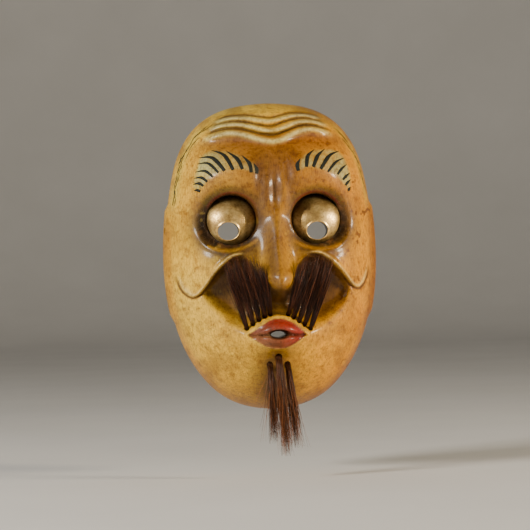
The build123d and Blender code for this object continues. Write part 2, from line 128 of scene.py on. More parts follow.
def broad(X, Z):
    """large forms of the relief, in mm towards the viewer"""
    A = np.abs(X); left = X < 0
    F = np.zeros(X.shape)
    F += 2.5*G(X, Z, 0, 82, 34, 12) + 1.5*G(X, Z, 0, 66, 10, 8)
    F -= 2.4*(G(X, Z, -24, 73, 16, 3.6, 4) + G(X, Z, 25, 74, 16, 3.6, -4))
    for sx in (-1, 1):
        F += 5.4*G(X, Z, sx*23, 57, 12, 7.0, -sx*8) + 3.8*G(X, Z, sx*42, 50, 9, 8, -sx*35) + 3.0*G(X, Z, sx*17, 47, 8, 6)
        F += 1.0*G(X, Z, sx*12.5, 49, 3.4, 6, 0)
        cx, cz = EYE[0] if sx < 0 else EYE[1]
        r = np.hypot(X-cx, (Z-cz)*1.03); a = np.arctan2(Z-cz, (X-cx)*sx)
        side = 0.5 - 0.5*np.cos(a - np.radians(128))      # 1 towards the outer lower quarter
        F -= (1.5 + 6.0*side**1.3)*np.exp(-((r-15.0)/(4.2 + 2.4*side))**2)
        F += 3.0*G(X, Z, sx*36, -1.5, 12, 9, -sx*20) + 2.0*G(X, Z, sx*50, -12, 8, 14, 0) + 1.5*G(X, Z, sx*18, 3, 7, 5)
    # nose
    zt = np.array([36, 27, 19, 10, 2, -6, -13, -18.5, -22, -25.5, -29])
    ht = np.array([1.0, 2.5, 6.0, 9.5, 13.5, 18.0, 22.0, 24.0, 21.5, 10.0, 0.0])
    wt = np.array([4.6, 4.8, 5.4, 6.0, 6.8, 7.8, 8.4, 8.2, 7.2, 6.4, 6.4])
    hz = np.interp(-Z, -zt, ht); wz = np.interp(-Z, -zt, wt)
    xc = 0.8 + 1.2*S((8-Z)/25)
    F += hz*np.exp(-np.abs((X-xc)/wz)**1.9)*S((38-Z)/10)
    for sx in (-1, 1):
        F += 7.5*G(X, Z, xc + sx*7.8, -13.8, 3.0, 4.4, sx*12)
        F -= 2.6*G(X, Z, xc + sx*12.6, -12, 2.0, 6, sx*8)
    # hollows beside and under the nose
    zu = np.where(left, np.interp(A, ZUP_X, ZUP_L), np.interp(A, ZUP_X, ZUP_R)); zl = np.where(left, np.interp(A, ZLO_X, ZLO_L), np.interp(A, ZLO_X, ZLO_R))
    depth = np.interp(A, [0, 8, 16, 30, 42, 50, 54], [3.0, 6.0, 9.5, 11.0, 8.5, 3.0, 0])
    F -= depth*S((zu - Z)/3.4)*S((Z - zl + 3)/15.0)
    # muzzle, chin
    F += 7.0*G(X, Z, 0, -66, 20, 15) + 3.0*G(X, Z, 0, -80, 24, 10)
    F += 2.0*G(X, Z, -36, -55, 16, 12) + 2.0*G(X, Z, 36, -55, 16, 12)
    F += 11.0*np.exp(-(np.abs(X/17.5)**2.2) - np.abs((Z+49.5)/10.5)**2.6) + 3.0*G(X, Z, 0, -48, 12, 7)
    F -= 2.2*G(X, Z, 0, -64.5, 9, 2.6)
    return F
def lines(X, Z):
    """carved lines and small rolls that are laid over the large forms"""
    F = np.zeros(X.shape)
    for sx in (-1, 1):
        cx, cz = EYE[0] if sx < 0 else EYE[1]
        fold = curve([(sx*4.4 + 0.8, 60), (sx*4.6 + 0.8, 50), (sx*5.4 + 0.8, 38), (sx*4.6 + 0.8, 24)])
        d, u, s = near(X, Z, fold, 12); F += 2.6*np.exp(-(d/3.7)**2)*taper(u, .45, .35)
        fur = curve([(sx*12.6, 64), (sx*9.6, 57), (sx*9.0, 50), (sx*11.0, 43), (sx*15.0, 39.5)])
        d, u, s = near(X, Z, fur, 10); F -= 0.9*np.exp(-(d/2.8)**2)*taper(u, .5, .45)
        bag = curve([(cx - sx*9, cz-18.5), (cx + sx*0, cz-20.6), (cx + sx*10, cz-19.3), (cx + sx*19, cz-13.5), (cx + sx*23.5, cz-4)])
        d, u, s = near(X, Z, bag, 9); F += 1.5*np.exp(-(d/2.2)**2)*taper(u, .3, .4)
        F -= 4.5*G(X, Z, 2.0 + sx*4.4, -23.6, 2.3, 1.7)
        d, u, s = near(X, Z, curve([(2.0 + sx*6.2, -6), (2.0 + sx*9.4, -9), (2.0 + sx*11.6, -13.5), (2.0 + sx*10.8, -18)]), 5); F -= 1.6*np.exp(-(d/1.1)**2)*taper(u, .3, .3)
    F -= 0.5*np.exp(-((X-0.8)/2.6)**2)*S((Z-20)/16)*S((68-Z)/24)
    # lips
    li = lip_inside(X, Z); inn = np.clip(li, 0, None)
    dm, u, s = near(X, Z, curve([(-19.6, -50.4), (-12, -50.6), (0, -50.0), (12, -50.6), (19.4, -50.6)]), 16)
    t = np.clip((inn - dm)/(inn + dm + 0.2), -1, 1)
    F += np.where(li > 0, 2.5*(1 - t*t)**0.8*S(inn/3.5) - 1.0*S(inn/1.5), 0)
    F += 1.2*np.exp(-(li/1.0)**2) - 1.5*np.exp(-(dm/0.9)**2)*(li > 0) - 1.6*G(X, Z, 0.2, -50, 6.6, 3.0)
    # cheek folds that curl up at the outer end
    for P, up in ((FOLD_L, 1), (FOLD_R, -1)):
        d, u, s = near(X, Z, curve(P), 9); s = s*up*d
        F += 1.9*np.exp(-((s+1.2)/1.5)**2)*taper(u, .12, .22) - 1.4*np.exp(-((s-1.1)/0.9)**2)*taper(u, .10, .2)
    # forehead wrinkles
    for P, a, w in ((G1, -1.9, 0.95), (G2, -2.0, 0.95), (G3, -2.1, 1.0)):
        d, u, s = near(X, Z, curve(P), 7); F += a*np.exp(-(d/w)**2)*taper(u, .12, .12)
    for P, a, w in ((R1, 1.4, 1.2), (R2, 1.6, 1.5), (R3, 2.1, 2.3)):
        d, u, s = near(X, Z, curve(P), 7); F += a*np.exp(-(d/w)**2)*taper(u, .15, .15)
    return F
STEP, X0, Z0 = 0.5, -78.0, -108.0
def blur(F, sig):
    k = np.arange(-int(4*sig)-1, int(4*sig)+2); w = np.exp(-0.5*(k/sig)**2); w /= w.sum(); p = len(k)//2
    F = np.pad(F, p, mode='edge')
    F = np.apply_along_axis(lambda v: np.convolve(v, w, 'valid'), 0, F)
    return np.apply_along_axis(lambda v: np.convolve(v, w, 'valid'), 1, F)
def make_raster():
    x = np.arange(X0, -X0 + 0.1, STEP); z = np.arange(Z0, -Z0 + 0.1, STEP)
    X, Z = np.meshgrid(x, z, indexing='ij')
    return blur(broad(X, Z), 1.5/STEP*0.8)
BROAD = make_raster()
def cubic(F, X, Z):
    a, b = (X - X0)/STEP, (Z - Z0)/STEP
    i, j = np.floor(a).astype(int), np.floor(b).astype(int); a, b = a-i, b-j
    def w(t): return (-0.5*t+t*t-0.5*t**3, 1-2.5*t*t+1.5*t**3, 0.5*t+2*t*t-1.5*t**3, -0.5*t*t+0.5*t**3)
    wa, wb = w(a), w(b); out = np.zeros(X.shape)
    for p in range(4):
        for q in range(4):
            out += wa[p]*wb[q]*F[np.clip(i+p-1, 0, F.shape[0]-1), np.clip(j+q-1, 0, F.shape[1]-1)]
    return out
def height(X, Z, rho=None, fine=True):
    """front surface of the carved face, mm in front of the rim plane"""
    if rho is None: rho = np.hypot(X, Z)/outline(np.arctan2(Z, X))
    F = cubic(BROAD, X, Z)
    if fine: F = F + lines(X, Z)
    return base(rho, Z) + F*S((1-rho)/0.09)
def grid(n, m, rmax=1.0):
    s = np.linspace(-1, 1, n); t = np.linspace(-1, 1, m); s, t = np.meshgrid(s, t, indexing='ij')
    p, q = s*np.sqrt(1 - t**2/2), t*np.sqrt(1 - s**2/2)
    return np.hypot(p, q)*rmax, np.arctan2(q, p)
def flange(th, Z):
    """how far the ear flange stands out of the outline at the rim"""
    return 2.0*S((36.5 - Z)/6.0)*S((Z + 44)/8.0)
def front(r, th, fine=True):
    rho = np.sin(r*np.pi/2); O = outline(th)
    X, Z = rho*O*np.cos(th), rho*O*np.sin(th)
    h = np.where(r <= 1, height(X, Z, rho, fine), -base(rho, Z))
    X = X + np.sign(np.cos(th))*flange(th, O*np.sin(th))*np.abs(np.cos(th))*S((rho-0.955)/0.035)
    return X, h, Z
HOLLOW, FLOOR, RIM = 41.0, 38.0, 7.2
def smin(a, b, k):
    t = np.clip(0.5 + 0.5*(b-a)/k, 0, 1); return b*(1-t) + a*t - k*t*(1-t)
def back(r, th):
    """hollow of the back, worn smooth, with the marks of a flat gouge"""
    rho = np.sin(r*np.pi/2); O = outline(th) - RIM
    X, Z = rho*O*np.cos(th), rho*O*np.sin(th)
    h = smin(HOLLOW*np.sqrt(np.clip(1 - rho**2.7, 0, 1)), np.full(X.shape, FLOOR), 2.5)
    for px, pz, ph, pr in ((1.0, -9.0, 38.0, 10.0), (0.0, -50.0, 34.0, 14.0)):
        d = np.hypot(X-px, Z-pz)
        h = h + (ph + np.sqrt(np.clip(pr*pr - d*d, 0, None)) - FLOOR)*S((pr-d)/2.0)*(d < pr)
    for cx, cz in EYE:
        d = np.hypot(X-cx, Z-cz); h = h - 8.0*S((22.5-d)/4.0)*S(h/30)
    u, v = X*0.92 + Z*0.35, Z*0.92 - X*0.35
    w = 5.2 + 0*X
    g = np.abs(np.sin(np.pi*(u + 1.2*np.sin(v/6.0))/w))*(0.55 + 0.45*np.abs(np.sin(np.pi*(v + 2.0*np.sin(u/7.0))/11.0)))
    return X, h + 0.40*g*S((1-rho)/0.12) - 0.2*S((1-rho)/0.12), Z
# ================================================================ mesh tools
def new_mesh(name, V, F, smooth=True):
    """V in (x, height, z) mm"""
    V = np.asarray(V, float)
    P = np.stack([V[:, 0], -V[:, 1], V[:, 2]], -1)/1000.0
    me = bpy.data.meshes.new(name); me.from_pydata(P.tolist(), [], [list(map(int, f)) for f in F]); me.update()
    if smooth: me.polygons.foreach_set("use_smooth", [True]*len(me.polygons))
    ob = bpy.data.objects.new(name, me); sc.collection.objects.link(ob)
    return ob
def outward(ob):
    import bmesh
    b = bmesh.new(); b.from_mesh(ob.data); bmesh.ops.recalc_face_normals(b, faces=b.faces)
    if b.calc_volume(signed=True) < 0: bmesh.ops.reverse_faces(b, faces=b.faces)
    b.to_mesh(ob.data); b.free(); return ob
def coords(ob):
    n = len(ob.data.vertices); a = np.empty(n*3); ob.data.vertices.foreach_get("co", a); a = a.reshape(-1, 3)*1000
    return a[:, 0], -a[:, 1], a[:, 2]
def rings(cx, cz, prof, n=96, ax=1.0, az=1.0, rot=0.0):
    """closed solid from (radius, height) rings round an axis along Y; radius 0 at both ends"""
    V, F = [], []
    a = np.linspace(0, 2*np.pi, n, endpoint=False)
    V.append((cx, prof[0][1], cz))
    for r, h in prof[1:-1]:
        for t in a: V.append((cx + r*ax*np.cos(t), h, cz + r*az*np.sin(t)))
    V.append((cx, prof[-1][1], cz)); m = len(prof)-2
    for i in range(n):
        j = (i+1) % n; F.append((0, 1+i, 1+j))
        for k in range(m-1): F.append((1+k*n+i, 1+(k+1)*n+i, 1+(k+1)*n+j, 1+k*n+j))
        F.append((len(V)-1, 1+(m-1)*n+j, 1+(m-1)*n+i))
    return V, F
def cut(ob, tools):
    """cuts by all the tools at once; they don't touch each other"""
    for t in tools: outward(t)
    with bpy.context.temp_override(active_object=tools[0], object=tools[0], selected_editable_objects=tools, selected_objects=tools): bpy.ops.object.join()
    for t in tools[:1]:
        m = ob.modifiers.new("cut", "BOOLEAN"); m.operation = "DIFFERENCE"; m.object = t; m.solver = "MANIFOLD"
        with bpy.context.temp_override(object=ob, active_object=ob): bpy.ops.object.modifier_apply(modifier=m.name)
        me = t.data; bpy.data.objects.remove(t); bpy.data.meshes.remove(me)

# ================================================================ shell
N, M = 237, 333
def border(n, m):
    i = np.arange(n*m).reshape(n, m)
    return np.concatenate([i[:-1, 0], i[-1, :-1], i[1:, -1][::-1], i[0, 1:][::-1]])
RMAX = 0.9925
r, th = grid(N, M, RMAX); Xf, hf, Zf = front(r, th)
n2, m2 = (N+1)//2, (M+1)//2
r2, th2 = grid(n2, m2, 1.0); Xb, hb, Zb = back(r2, th2)
V = np.stack([Xf, hf, Zf], -1).reshape(-1, 3); F = []
i = np.arange(N*M).reshape(N, M); F += np.stack([i[:-1, :-1], i[1:, :-1], i[1:, 1:], i[:-1, 1:]], -1).reshape(-1, 4).tolist()
off = len(V); V = np.vstack([V, np.stack([Xb, hb, Zb], -1).reshape(-1, 3)])
i = np.arange(n2*m2).reshape(n2, m2) + off; F += np.stack([i[:-1, :-1], i[:-1, 1:], i[1:, 1:], i[1:, :-1]], -1).reshape(-1, 4).tolist()
bf, bb = border(N, M), border(n2, m2) + off
h0 = V[bf, 1].copy(); R0 = np.hypot(V[bf, 0], V[bf, 2]); prev = bf
for ph in (30, 60, 90):                       # rounded edge of the rim
    a = math.radians(ph); k = 1 - 0.9*(1-math.cos(a))/R0
    ring = np.stack([V[bf, 0]*k, h0*(1-math.sin(a)), V[bf, 2]*k], -1); idx = np.arange(len(bf)) + len(V); V = np.vstack([V, ring])
    for q in range(len(bf)):
        p = (q+1) % len(bf); F.append((prev[q], prev[p], idx[p], idx[q]))
    prev = idx
V[bb, 1] = 0.0
for q in range(len(bb)):
    p = (q+1) % len(bb); a, b, c = prev[2*q], prev[2*q+1], prev[(2*q+2) % len(bf)]
    F += [(a, b, bb[q]), (b, bb[p], bb[q]), (b, c, bb[p])]
shell = outward(new_mesh("mask_carved_shell", V, F))

def surf(x, z):
    return height(np.asarray(x, float), np.asarray(z, float))
BALL_R, BALL_H, DROP = 20.0, 30.5, 2.0
PUPIL = ((-29.4, 16.5), (27.8, 15.6)); PRX, PRZ = 6.75, 5.65
def ball_h(X, Z, e, dr=0.0):
    cx, cz = EYE[e]; d = np.hypot(X-cx, Z-(cz-DROP))
    return np.maximum(36.0, BALL_H + np.sqrt(np.clip((BALL_R+dr)**2 - d*d, 0, None)))
def socket_tool(e):
    cx, cz = EYE[e]; n = 160; a = np.linspace(0, 2*np.pi, n, endpoint=False); ca, sa = np.cos(a), np.sin(a)
    V = [(cx, float(ball_h(np.array(cx), np.array(cz), e)), cz)]; m = 0
    lip_h = surf(cx + 16.9*ca, cz + 16.9*sa)
    for rr in list(np.linspace(1.5, 15.4, 11)) + [15.9]:
        hh = np.minimum(ball_h(cx + rr*ca, cz + rr*sa, e), np.where(rr > 12, lip_h - 1.6, 99)); V += list(zip(cx + rr*ca, hh, cz + rr*sa)); m += 1
    bot = hh
    for rr, dh in ((15.97, 0.40), (16.02, 0.58), (16.15, 0.72), (16.42, 0.84), (16.85, 0.93), (17.4, 0.975)):
        sh = surf(cx + 18.0*ca, cz + 18.0*sa) - 0.04
        V += list(zip(cx + rr*ca, bot + (sh-bot)*dh, cz + rr*sa)); m += 1
    for rr, up in ((18.1, 0.06), (18.7, 0.9), (19.4, 3.0)):
        V += list(zip(cx + rr*ca, surf(cx + rr*ca, cz + rr*sa) + up, cz + rr*sa)); m += 1
    V += list(zip(cx + 19.4*ca, np.full(n, 95.0), cz + 19.4*sa)); m += 1
    V.append((cx, 95.0, cz)); F = []
    for q in range(n):
        j = (q+1) % n; F.append((0, 1+q, 1+j))
        for k in range(m-1): F.append((1+k*n+q, 1+(k+1)*n+q, 1+(k+1)*n+j, 1+k*n+j))
        F.append((len(V)-1, 1+(m-1)*n+j, 1+(m-1)*n+q))
    return new_mesh("t", V, F)
MOUTH = (0.1, -49.9)
LM = [("left_1", -19.5, -45.8, -31.6, -3.2, 60.0, 3.0), ("left_2", -15.6, -43.0, -26.3, -1.6, 61.0, 3.0), ("left_3", -11.8, -40.4, -20.9, -0.6, 62.0, 3.5),
      ("left_4", -8.1, -38.3, -15.9, -1.4, 63.5, 5.5), ("left_5", -4.4, -37.0, -11.3, -4.2, 66.0, 8.0),
      ("right_1", 21.4, -46.9, 34.5, -5.0, 60.0, 3.0), ("right_2", 17.6, -44.3, 29.8, -2.4, 61.0, 3.0), ("right_3", 14.0, -41.8, 25.2, -1.6, 62.0, 3.5),
      ("right_4", 10.5, -39.4, 20.4, -2.2, 63.5, 5.5), ("right_5", 7.1, -37.3, 15.7, -4.7, 67.0, 8.5)]
LG = [("left", -5.2, -69.3, 1.9, -3.8, -119.5, 59.0), ("centre", 0.4, -64.8, 2.3, 3.6, -127.5, 61.0), ("right", 6.2, -69.6, 2.0, 10.8, -123.0, 59.0)]
cut(shell, [socket_tool(0), socket_tool(1)])
tools = []
for e, (px, pz) in enumerate(PUPIL):
    tools.append(new_mesh("t", *rings(px, pz, [(0, 10), (1, 10), (1, 95), (0, 95)], 96, PRX+0.55, PRZ+0.55)))
# mouth hole: an almond that opens outwards
prof = [(0, 20), (1.0, 20), (0.98, 58.5), (1.0, 60.5), (1.08, 62.3), (1.28, 63.9), (1.7, 66.0), (1.7, 95), (0, 95)]
V_, F_ = rings(MOUTH[0], MOUTH[1], prof, 96)
V2 = []
for (x, h, z) in V_:
    dx, dz = x-MOUTH[0], z-MOUTH[1]; rr = math.hypot(dx, dz); t = math.atan2(dz, dx)
    V2.append((MOUTH[0] + rr*4.8*math.cos(t), h, MOUTH[1] + rr*2.0*math.sin(t)*(1 - 0.25*abs(math.cos(t))**2)))
tools.append(new_mesh("t", V2, F_))
for nm, rx, rz, *_ in LM: tools.append(new_mesh("t", *rings(rx, rz, [(0, 20), (1.6, 20), (1.6, 95), (0, 95)], 24)))
for nm, rx, rz, rr, *_ in LG: tools.append(new_mesh("t", *rings(rx, rz, [(0, 20), (rr+.1, 20), (rr+.1, 95), (0, 95)], 28)))
for sx in (-1, 1):
    a = np.linspace(0, 2*np.pi, 32, endpoint=False); Vc = []
    for x in (50, 80):
        Vc += [(sx*x, 9.0 + 2.2*math.cos(t), 18.0 + 2.2*math.sin(t)) for t in a]
    Fc = [(q, (q+1) % 32, 32+(q+1) % 32, 32+q) for q in range(32)] + [list(range(32))[::-1], list(range(32, 64))]
    tools.append(new_mesh("t", Vc, Fc))
cut(shell, tools)
import bmesh
b = bmesh.new(); b.from_mesh(shell.data); bmesh.ops.remove_doubles(b, verts=b.verts, dist=4e-6); bmesh.ops.dissolve_degenerate(b, edges=b.edges, dist=3e-6)
print("edges that aren't shared by two faces:", sum(1 for e in b.edges if len(e.link_faces) != 2)); b.to_mesh(shell.data); b.free()
try:
    shell.data.polygons.foreach_set("use_smooth", [True]*len(shell.data.polygons)); shell.data.set_sharp_from_angle(angle=math.radians(38))
except Exception as ex: print("sharp", ex)
print("shell faces", len(shell.data.polygons))

# ================================================================ paint on the shell, with painted shade and painted highlights
def lin(c):
    c = np.asarray(c, float)/255.0
    return np.where(c <= 0.04045, c/12.92, ((c+0.055)/1.055)**2.4)
X, h, Z = coords(shell)
nv = len(X); rho = np.hypot(X, Z)/outline(np.arctan2(Z, X)); hs = surf(X, Z)
inside = (h < hs - 3.0) & (rho < 0.985)                       # hollow, holes and sockets
depth = hs - h
sock = np.zeros(nv, bool)
for cx, cz in EYE: sock |= (np.hypot(X-cx, Z-cz) < 16.7) & (h > 34.5)
bk = inside & ~sock
def noise(X, Z, s, seed):
    g = np.random.default_rng(seed); n = 64; T = g.random((n, n)); a, b = (X/s) % n, (Z/s) % n
    i, j = np.floor(a).astype(int) % n, np.floor(b).astype(int) % n; a, b = S(a-np.floor(a)), S(b-np.floor(b)); i1, j1 = (i+1) % n, (j+1) % n
    return T[i, j]*(1-a)*(1-b) + T[i1, j]*a*(1-b) + T[i, j1]*(1-a)*b + T[i1, j1]*a*b
def fbm(X, Z, s, seed): return 0.5*noise(X, Z, s, seed) + 0.3*noise(X, Z, s/2.1, seed+1) + 0.2*noise(X, Z, s/4.3, seed+2)
# tints for the left and right sides; the warmer right one is partly varnish, partly painted warm light
VARNISH_AND_LIGHT_TINT_L, VARNISH_AND_LIGHT_TINT_R = (1.06, 0.91, 0.38), (1.04, 0.76, 0.09)
def lin_mul(c): return np.asarray(c, float)[None, :]
C = np.tile(lin((226, 190, 122)), (nv, 1))
def mix(col, m):
    global C
    m = np.clip(m, 0, 1)[:, None]; C = C*(1-m) + lin(col)*m
fb = fbm(X, Z, 14, 3); fs = fbm(X, Z, 4.0, 9)
mix((206, 160, 84), 0.55*S((X-5)/60) + 0.25*(fb-0.5))                      # warmer towards the right side: partly the mask's own tone, partly painted warm light from the right
mix((226, 206, 160), 0.75*S((Z-84)/12) + 0.35*S((-X-30)/25)*S((-Z+10)/30)*S((Z+70)/30))     # pale crown; pale left cheek, partly painted light from the left
mix((176, 128, 62), 0.75*G(X, Z, -6, 66, 34, 9) + 0.35*G(X, Z, 0, 50, 22, 12))          # browned forehead
mix((150, 104, 48), 0.80*np.clip(G(X, Z, -20, 73, 17, 4, 4) + G(X, Z, 24, 74, 17, 4, -4), 0, 1))
mix((118, 80, 34), 0.75*np.clip(G(X, Z, -8, 60, 7, 8, 0) + G(X, Z, 11, 62, 6, 8, 0), 0, 1))
mix((128, 86, 32), 0.55*G(X, Z, 0, 44, 12, 14))
for e, (cx, cz) in enumerate(EYE):
    sx = -1 if e == 0 else 1
    d = np.hypot(X-cx, (Z-cz)*1.02); a = np.arctan2(Z-cz, (X-cx)*sx); side = 0.5 - 0.5*np.cos(a - math.radians(120))
    k = 1.0 if e == 0 else 0.82
    mix((196, 150, 82), 0.6*S((40-d)/16)*S((Z-cz)/14 + 0.4))
    # dark ring round each socket, widest at the outer lower side and deeper round the left eye: partly the mask's dark
    # paint in the eye hollow, partly painted shade
    mix((60, 42, 14), k*np.exp(-(np.clip(d-16.0-4.0*side, 0, 99)/(4.6 + 5.0*side))**2)*(0.74 + 0.26*side))
    mix((38, 28, 11), k*np.exp(-(np.clip(d-15.6-1.5*side, 0, 99)/(2.4 + 3.0*side))**2)*(0.62 + 0.38*side))
    lid = S((Z-cz-6)/6)
    mix((104, 98, 66), 0.55*np.exp(-((d-20.2)/2.2)**2)*lid)
    mix((120, 30, 24), 0.85*np.exp(-((d-17.6)/0.8)**2)*lid)
    # socket wall and floor painted near-black: painted shade in the deep socket
    mix((46, 32, 17), 0.9*(d < 16.6)*(h < hs-0.9))
    # light line under each eye along the top of the cheek bag: painted highlight
    mix((210, 170, 100), 0.55*np.exp(-((Z-(cz-19.6) - 0.018*(X-cx-sx*3)**2)/1.3)**2)*(np.abs(X-cx) < 16))
# bridge and nose
mix((150, 110, 52), 0.75*np.exp(-(np.abs((X-0.5)/9.5)**2.5))*S((30-Z)/20)*S((Z+27)/5))
mix((112, 88, 46), 0.70*G(X, Z, -2.6, 0, 3.2, 15, -4))
# light stripe down the right side of the bridge: painted highlight
mix((176, 140, 84), 0.6*G(X, Z, 3.4, 2, 1.6, 14, -3))
# light stripes on the two glabella folds: painted highlights
mix((196, 156, 92), 0.55*np.clip(G(X, Z, -3.5, 42, 2.0, 12) + G(X, Z, 6.0, 40, 2.0, 12), 0, 1))
# dark stripe down the glabella valley: painted shade
mix((88, 58, 24), 0.55*np.exp(-((X-0.9)/2.4)**2)*S((Z-20)/12)*S((66-Z)/20))
# dark line along each inner brow furrow: painted shade in the crease
for sx in (-1, 1):
    d, u, s = near(X, Z, curve([(sx*12.6, 64), (sx*9.6, 57), (sx*9.0, 50), (sx*11.0, 43), (sx*15.0, 39.5)]), 10); mix((92, 62, 28), 0.7*np.exp(-(d/2.0)**2)*taper(u, .3, .3))
# dark nostrils: painted shade under the nose
mix((58, 40, 22), 0.8*np.clip(G(X, Z, -2.4, -24.5, 4.4, 3.2) + G(X, Z, 6.4, -24.5, 4.4, 3.2), 0, 1))
# hollows beside the nose
Ax = np.abs(X); zu = np.where(X < 0, np.interp(Ax, ZUP_X, ZUP_L), np.interp(Ax, ZUP_X, ZUP_R)); zl = np.where(X < 0, np.interp(Ax, ZLO_X, ZLO_L), np.interp(Ax, ZLO_X, ZLO_R))
hol = S((zu + 1.0 - Z)/3.0)*S((Z - zl + 1)/9.0)*S((54-Ax)/8)
mix((136, 104, 50), 0.80*hol); mix((88, 64, 30), 0.70*hol*S((Z-zl-4)/12)*S((50-Ax)/14)*S((Ax+2)/12))
# under-eye and cheek folds: a dark line in each groove, painted shade, and a light line on the ridge beside it, painted
# highlight
for P, up in ((FOLD_L, 1), (FOLD_R, -1)):
    d, u, s = near(X, Z, curve(P), 9); s = s*up*d
    mix((112, 76, 34), 0.80*np.exp(-((s-1.0)/0.75)**2)*taper(u, .1, .15)); mix((232, 208, 152), 0.75*np.exp(-((s+1.0)/0.9)**2)*taper(u, .15, .15))
# forehead rolls: painted shade in the grooves, painted highlights on the crests
for P, w, c, k in ((G1, 1.0, (120, 92, 48), .8), (G2, 1.0, (110, 82, 42), .85), (G3, 1.15, (104, 74, 36), .9)):
    d, u, s = near(X, Z, curve(P), 7); mix(c, k*np.exp(-(d/w)**2)*taper(u, .08, .08))
for P, w in ((R1, 1.2), (R2, 1.4), (R3, 1.7)):
    d, u, s = near(X, Z, curve(P), 7); mix((230, 218, 176), 0.80*np.exp(-(d/w)**2)*taper(u, .1, .1))
# dark band under the lowest ridge: painted shade in the trough above the brows
d, u, s = near(X, Z, curve([(x, z-4.2) for x, z in R3]), 7); mix((140, 98, 46), 0.55*np.exp(-(d/2.2)**2)*taper(u, .1, .1))
# pale ground under the brows
BL = [(-51.0, 44.8), (-50.6, 49.5), (-49.2, 54.8), (-46.5, 63.6), (-42.5, 67.6), (-38.6, 68.8), (-29.2, 67.9), (-20.0, 64.6), (-12.4, 59.6), (-9.8, 53.2), (-11.0, 52.2), (-14.6, 53.2), (-20.0, 55.4), (-26.0, 55.2), (-31.2, 54.4), (-38.2, 51.6), (-42.1, 48.2), (-45.2, 44.6), (-48.0, 42.6)]
BR = [(15.6, 53.6), (15.6, 57.5), (17.6, 61.6), (21.2, 65.0), (27.4, 67.5), (34.4, 68.0), (39.0, 68.0), (44.2, 66.6), (47.8, 62.4), (49.4, 58.0), (51.0, 52.4), (51.2, 47.0), (50.6, 42.2), (48.4, 41.4), (46.0, 44.2), (41.7, 48.9), (35.2, 52.2), (30.4, 54.2), (25.6, 55.6), (21.0, 55.6), (17.8, 54.0)]
def inpoly(X, Z, P):
    ins = np.zeros(X.shape, bool); n = len(P)
    for q in range(n):
        (x1, z1), (x2, z2) = P[q], P[(q+1) % n]
        c = ((z1 > Z) != (z2 > Z)) & (X < (x2-x1)*(Z-z1)/(z2-z1+1e-12) + x1); ins ^= c
    return ins
for P in (BL, BR):
    d, u, s = near(X, Z, np.array(P + P[:1], float), 6); sd = np.where(inpoly(X, Z, P), d, -d); mix((196, 190, 140), (0.40 + 0.5*(fs-.5) + 0.25*S((np.abs(X)-34)/12))*S((sd+0.6)/2.4)*(~bk))
# lips
li = lip_inside(X, Z)
mix((70, 50, 28), 0.35*S((li+7)/6)*S((-44-Z + 0*X)/4 + 1)*(li < 0)*(Z > -50))
mix((236, 208, 156), 0.85*np.exp(-((li+0.7)/0.8)**2))
dm, u, s = near(X, Z, curve([(-19.6, -50.4), (-12, -50.6), (0, -50.0), (12, -50.6), (19.4, -50.6)]), 16)
LIPM = S((li+0.15)/0.7)*(h > hs-12)
mix((112, 5, 3), LIPM); mix((172, 26, 14), 0.70*LIPM*np.clip(0.3 + 0.7*S((X+4)/16) - 0.25*(Z > -50) + 0.9*(fs-0.5), 0, 1)*S(li/2.0))
# the last mark here is a dark ring round the mouth hole: painted shade in the lips' funnel
mix((60, 8, 6), 0.85*LIPM*np.exp(-(dm/1.1)**2)); mix((96, 14, 9), 0.5*LIPM*S((-X-2)/12)); mix((40, 10, 7), 0.8*LIPM*np.exp(-((np.hypot((X-MOUTH[0])/7.4, (Z-MOUTH[1])/3.4)-0.7)/0.35)**2))
# temples, sides and chin
mix((232, 220, 184), 0.55*np.exp(-((rho-0.955)/0.03)**2)*S((Z-28)/12)*S((92-Z)/12))
mix((178, 120, 50), 0.45*S((rho-0.93)/0.06)*S((35-Z)/20)); mix((160, 104, 44), 0.45*S((X-30)/30)*S((-Z-10)/40)*S(fb*1.4-0.2))
# lighter patch on the left of the chin, painted light from the left; darker band down the chin centre, painted shadow
# of the goatee
mix((214, 178, 116), 0.5*G(X, Z, -14, -72, 14, 14)); mix((180, 130, 62), 0.45*G(X, Z, 3, -86, 6, 16)); mix((190, 140, 74), 0.35*S((rho-0.75)/0.2)*S((-Z-60)/20))
# worn spots and old marks
sp = noise(X, Z, 1.6, 41)*noise(X, Z, 9, 42); mix((120, 78, 34), 0.75*S((sp-0.60)/0.10)*S((X+20)/40)); sp = noise(X, Z, 2.2, 51)*noise(X, Z, 12, 52); mix((236, 214, 164), 0.2*S((sp-0.62)/0.1))
# the varnish has yellowed, and the right side is warmer: partly the varnish, partly painted warm light from the right;
# then dirt patches, a darker rim, and painted shade and painted highlights on the relief
f_ = S((X+42)/84)[:, None]; nol = (1 - np.clip(LIPM, 0, 1))[:, None]
tint = lin_mul(VARNISH_AND_LIGHT_TINT_L)*(1-f_) + lin_mul(VARNISH_AND_LIGHT_TINT_R)*f_
C = C*(tint*nol + (1-nol)); C = np.clip(C, 0, 1)**(1 + 0.26*nol)*(1 + nol*np.array([[-0.02, 0.13, 0.0]]))
fb2 = fbm(X, Z, 22, 71); fb3 = fbm(X, Z, 7, 83)
mix((104, 66, 24), 0.42*S((fb2-0.50)/0.22)*S((52-np.abs(X))/26)*S((Z+30)/30)*(1-LIPM)); mix((128, 80, 28), 0.30*S((fb3-0.52)/0.16)*(1-LIPM))
mix((92, 54, 18), 0.55*S((rho-0.90)/0.10)*(0.45 + 0.55*S((X+20)/60))*(1-0.6*S((-X-10)/20)*S((-Z)/20)))
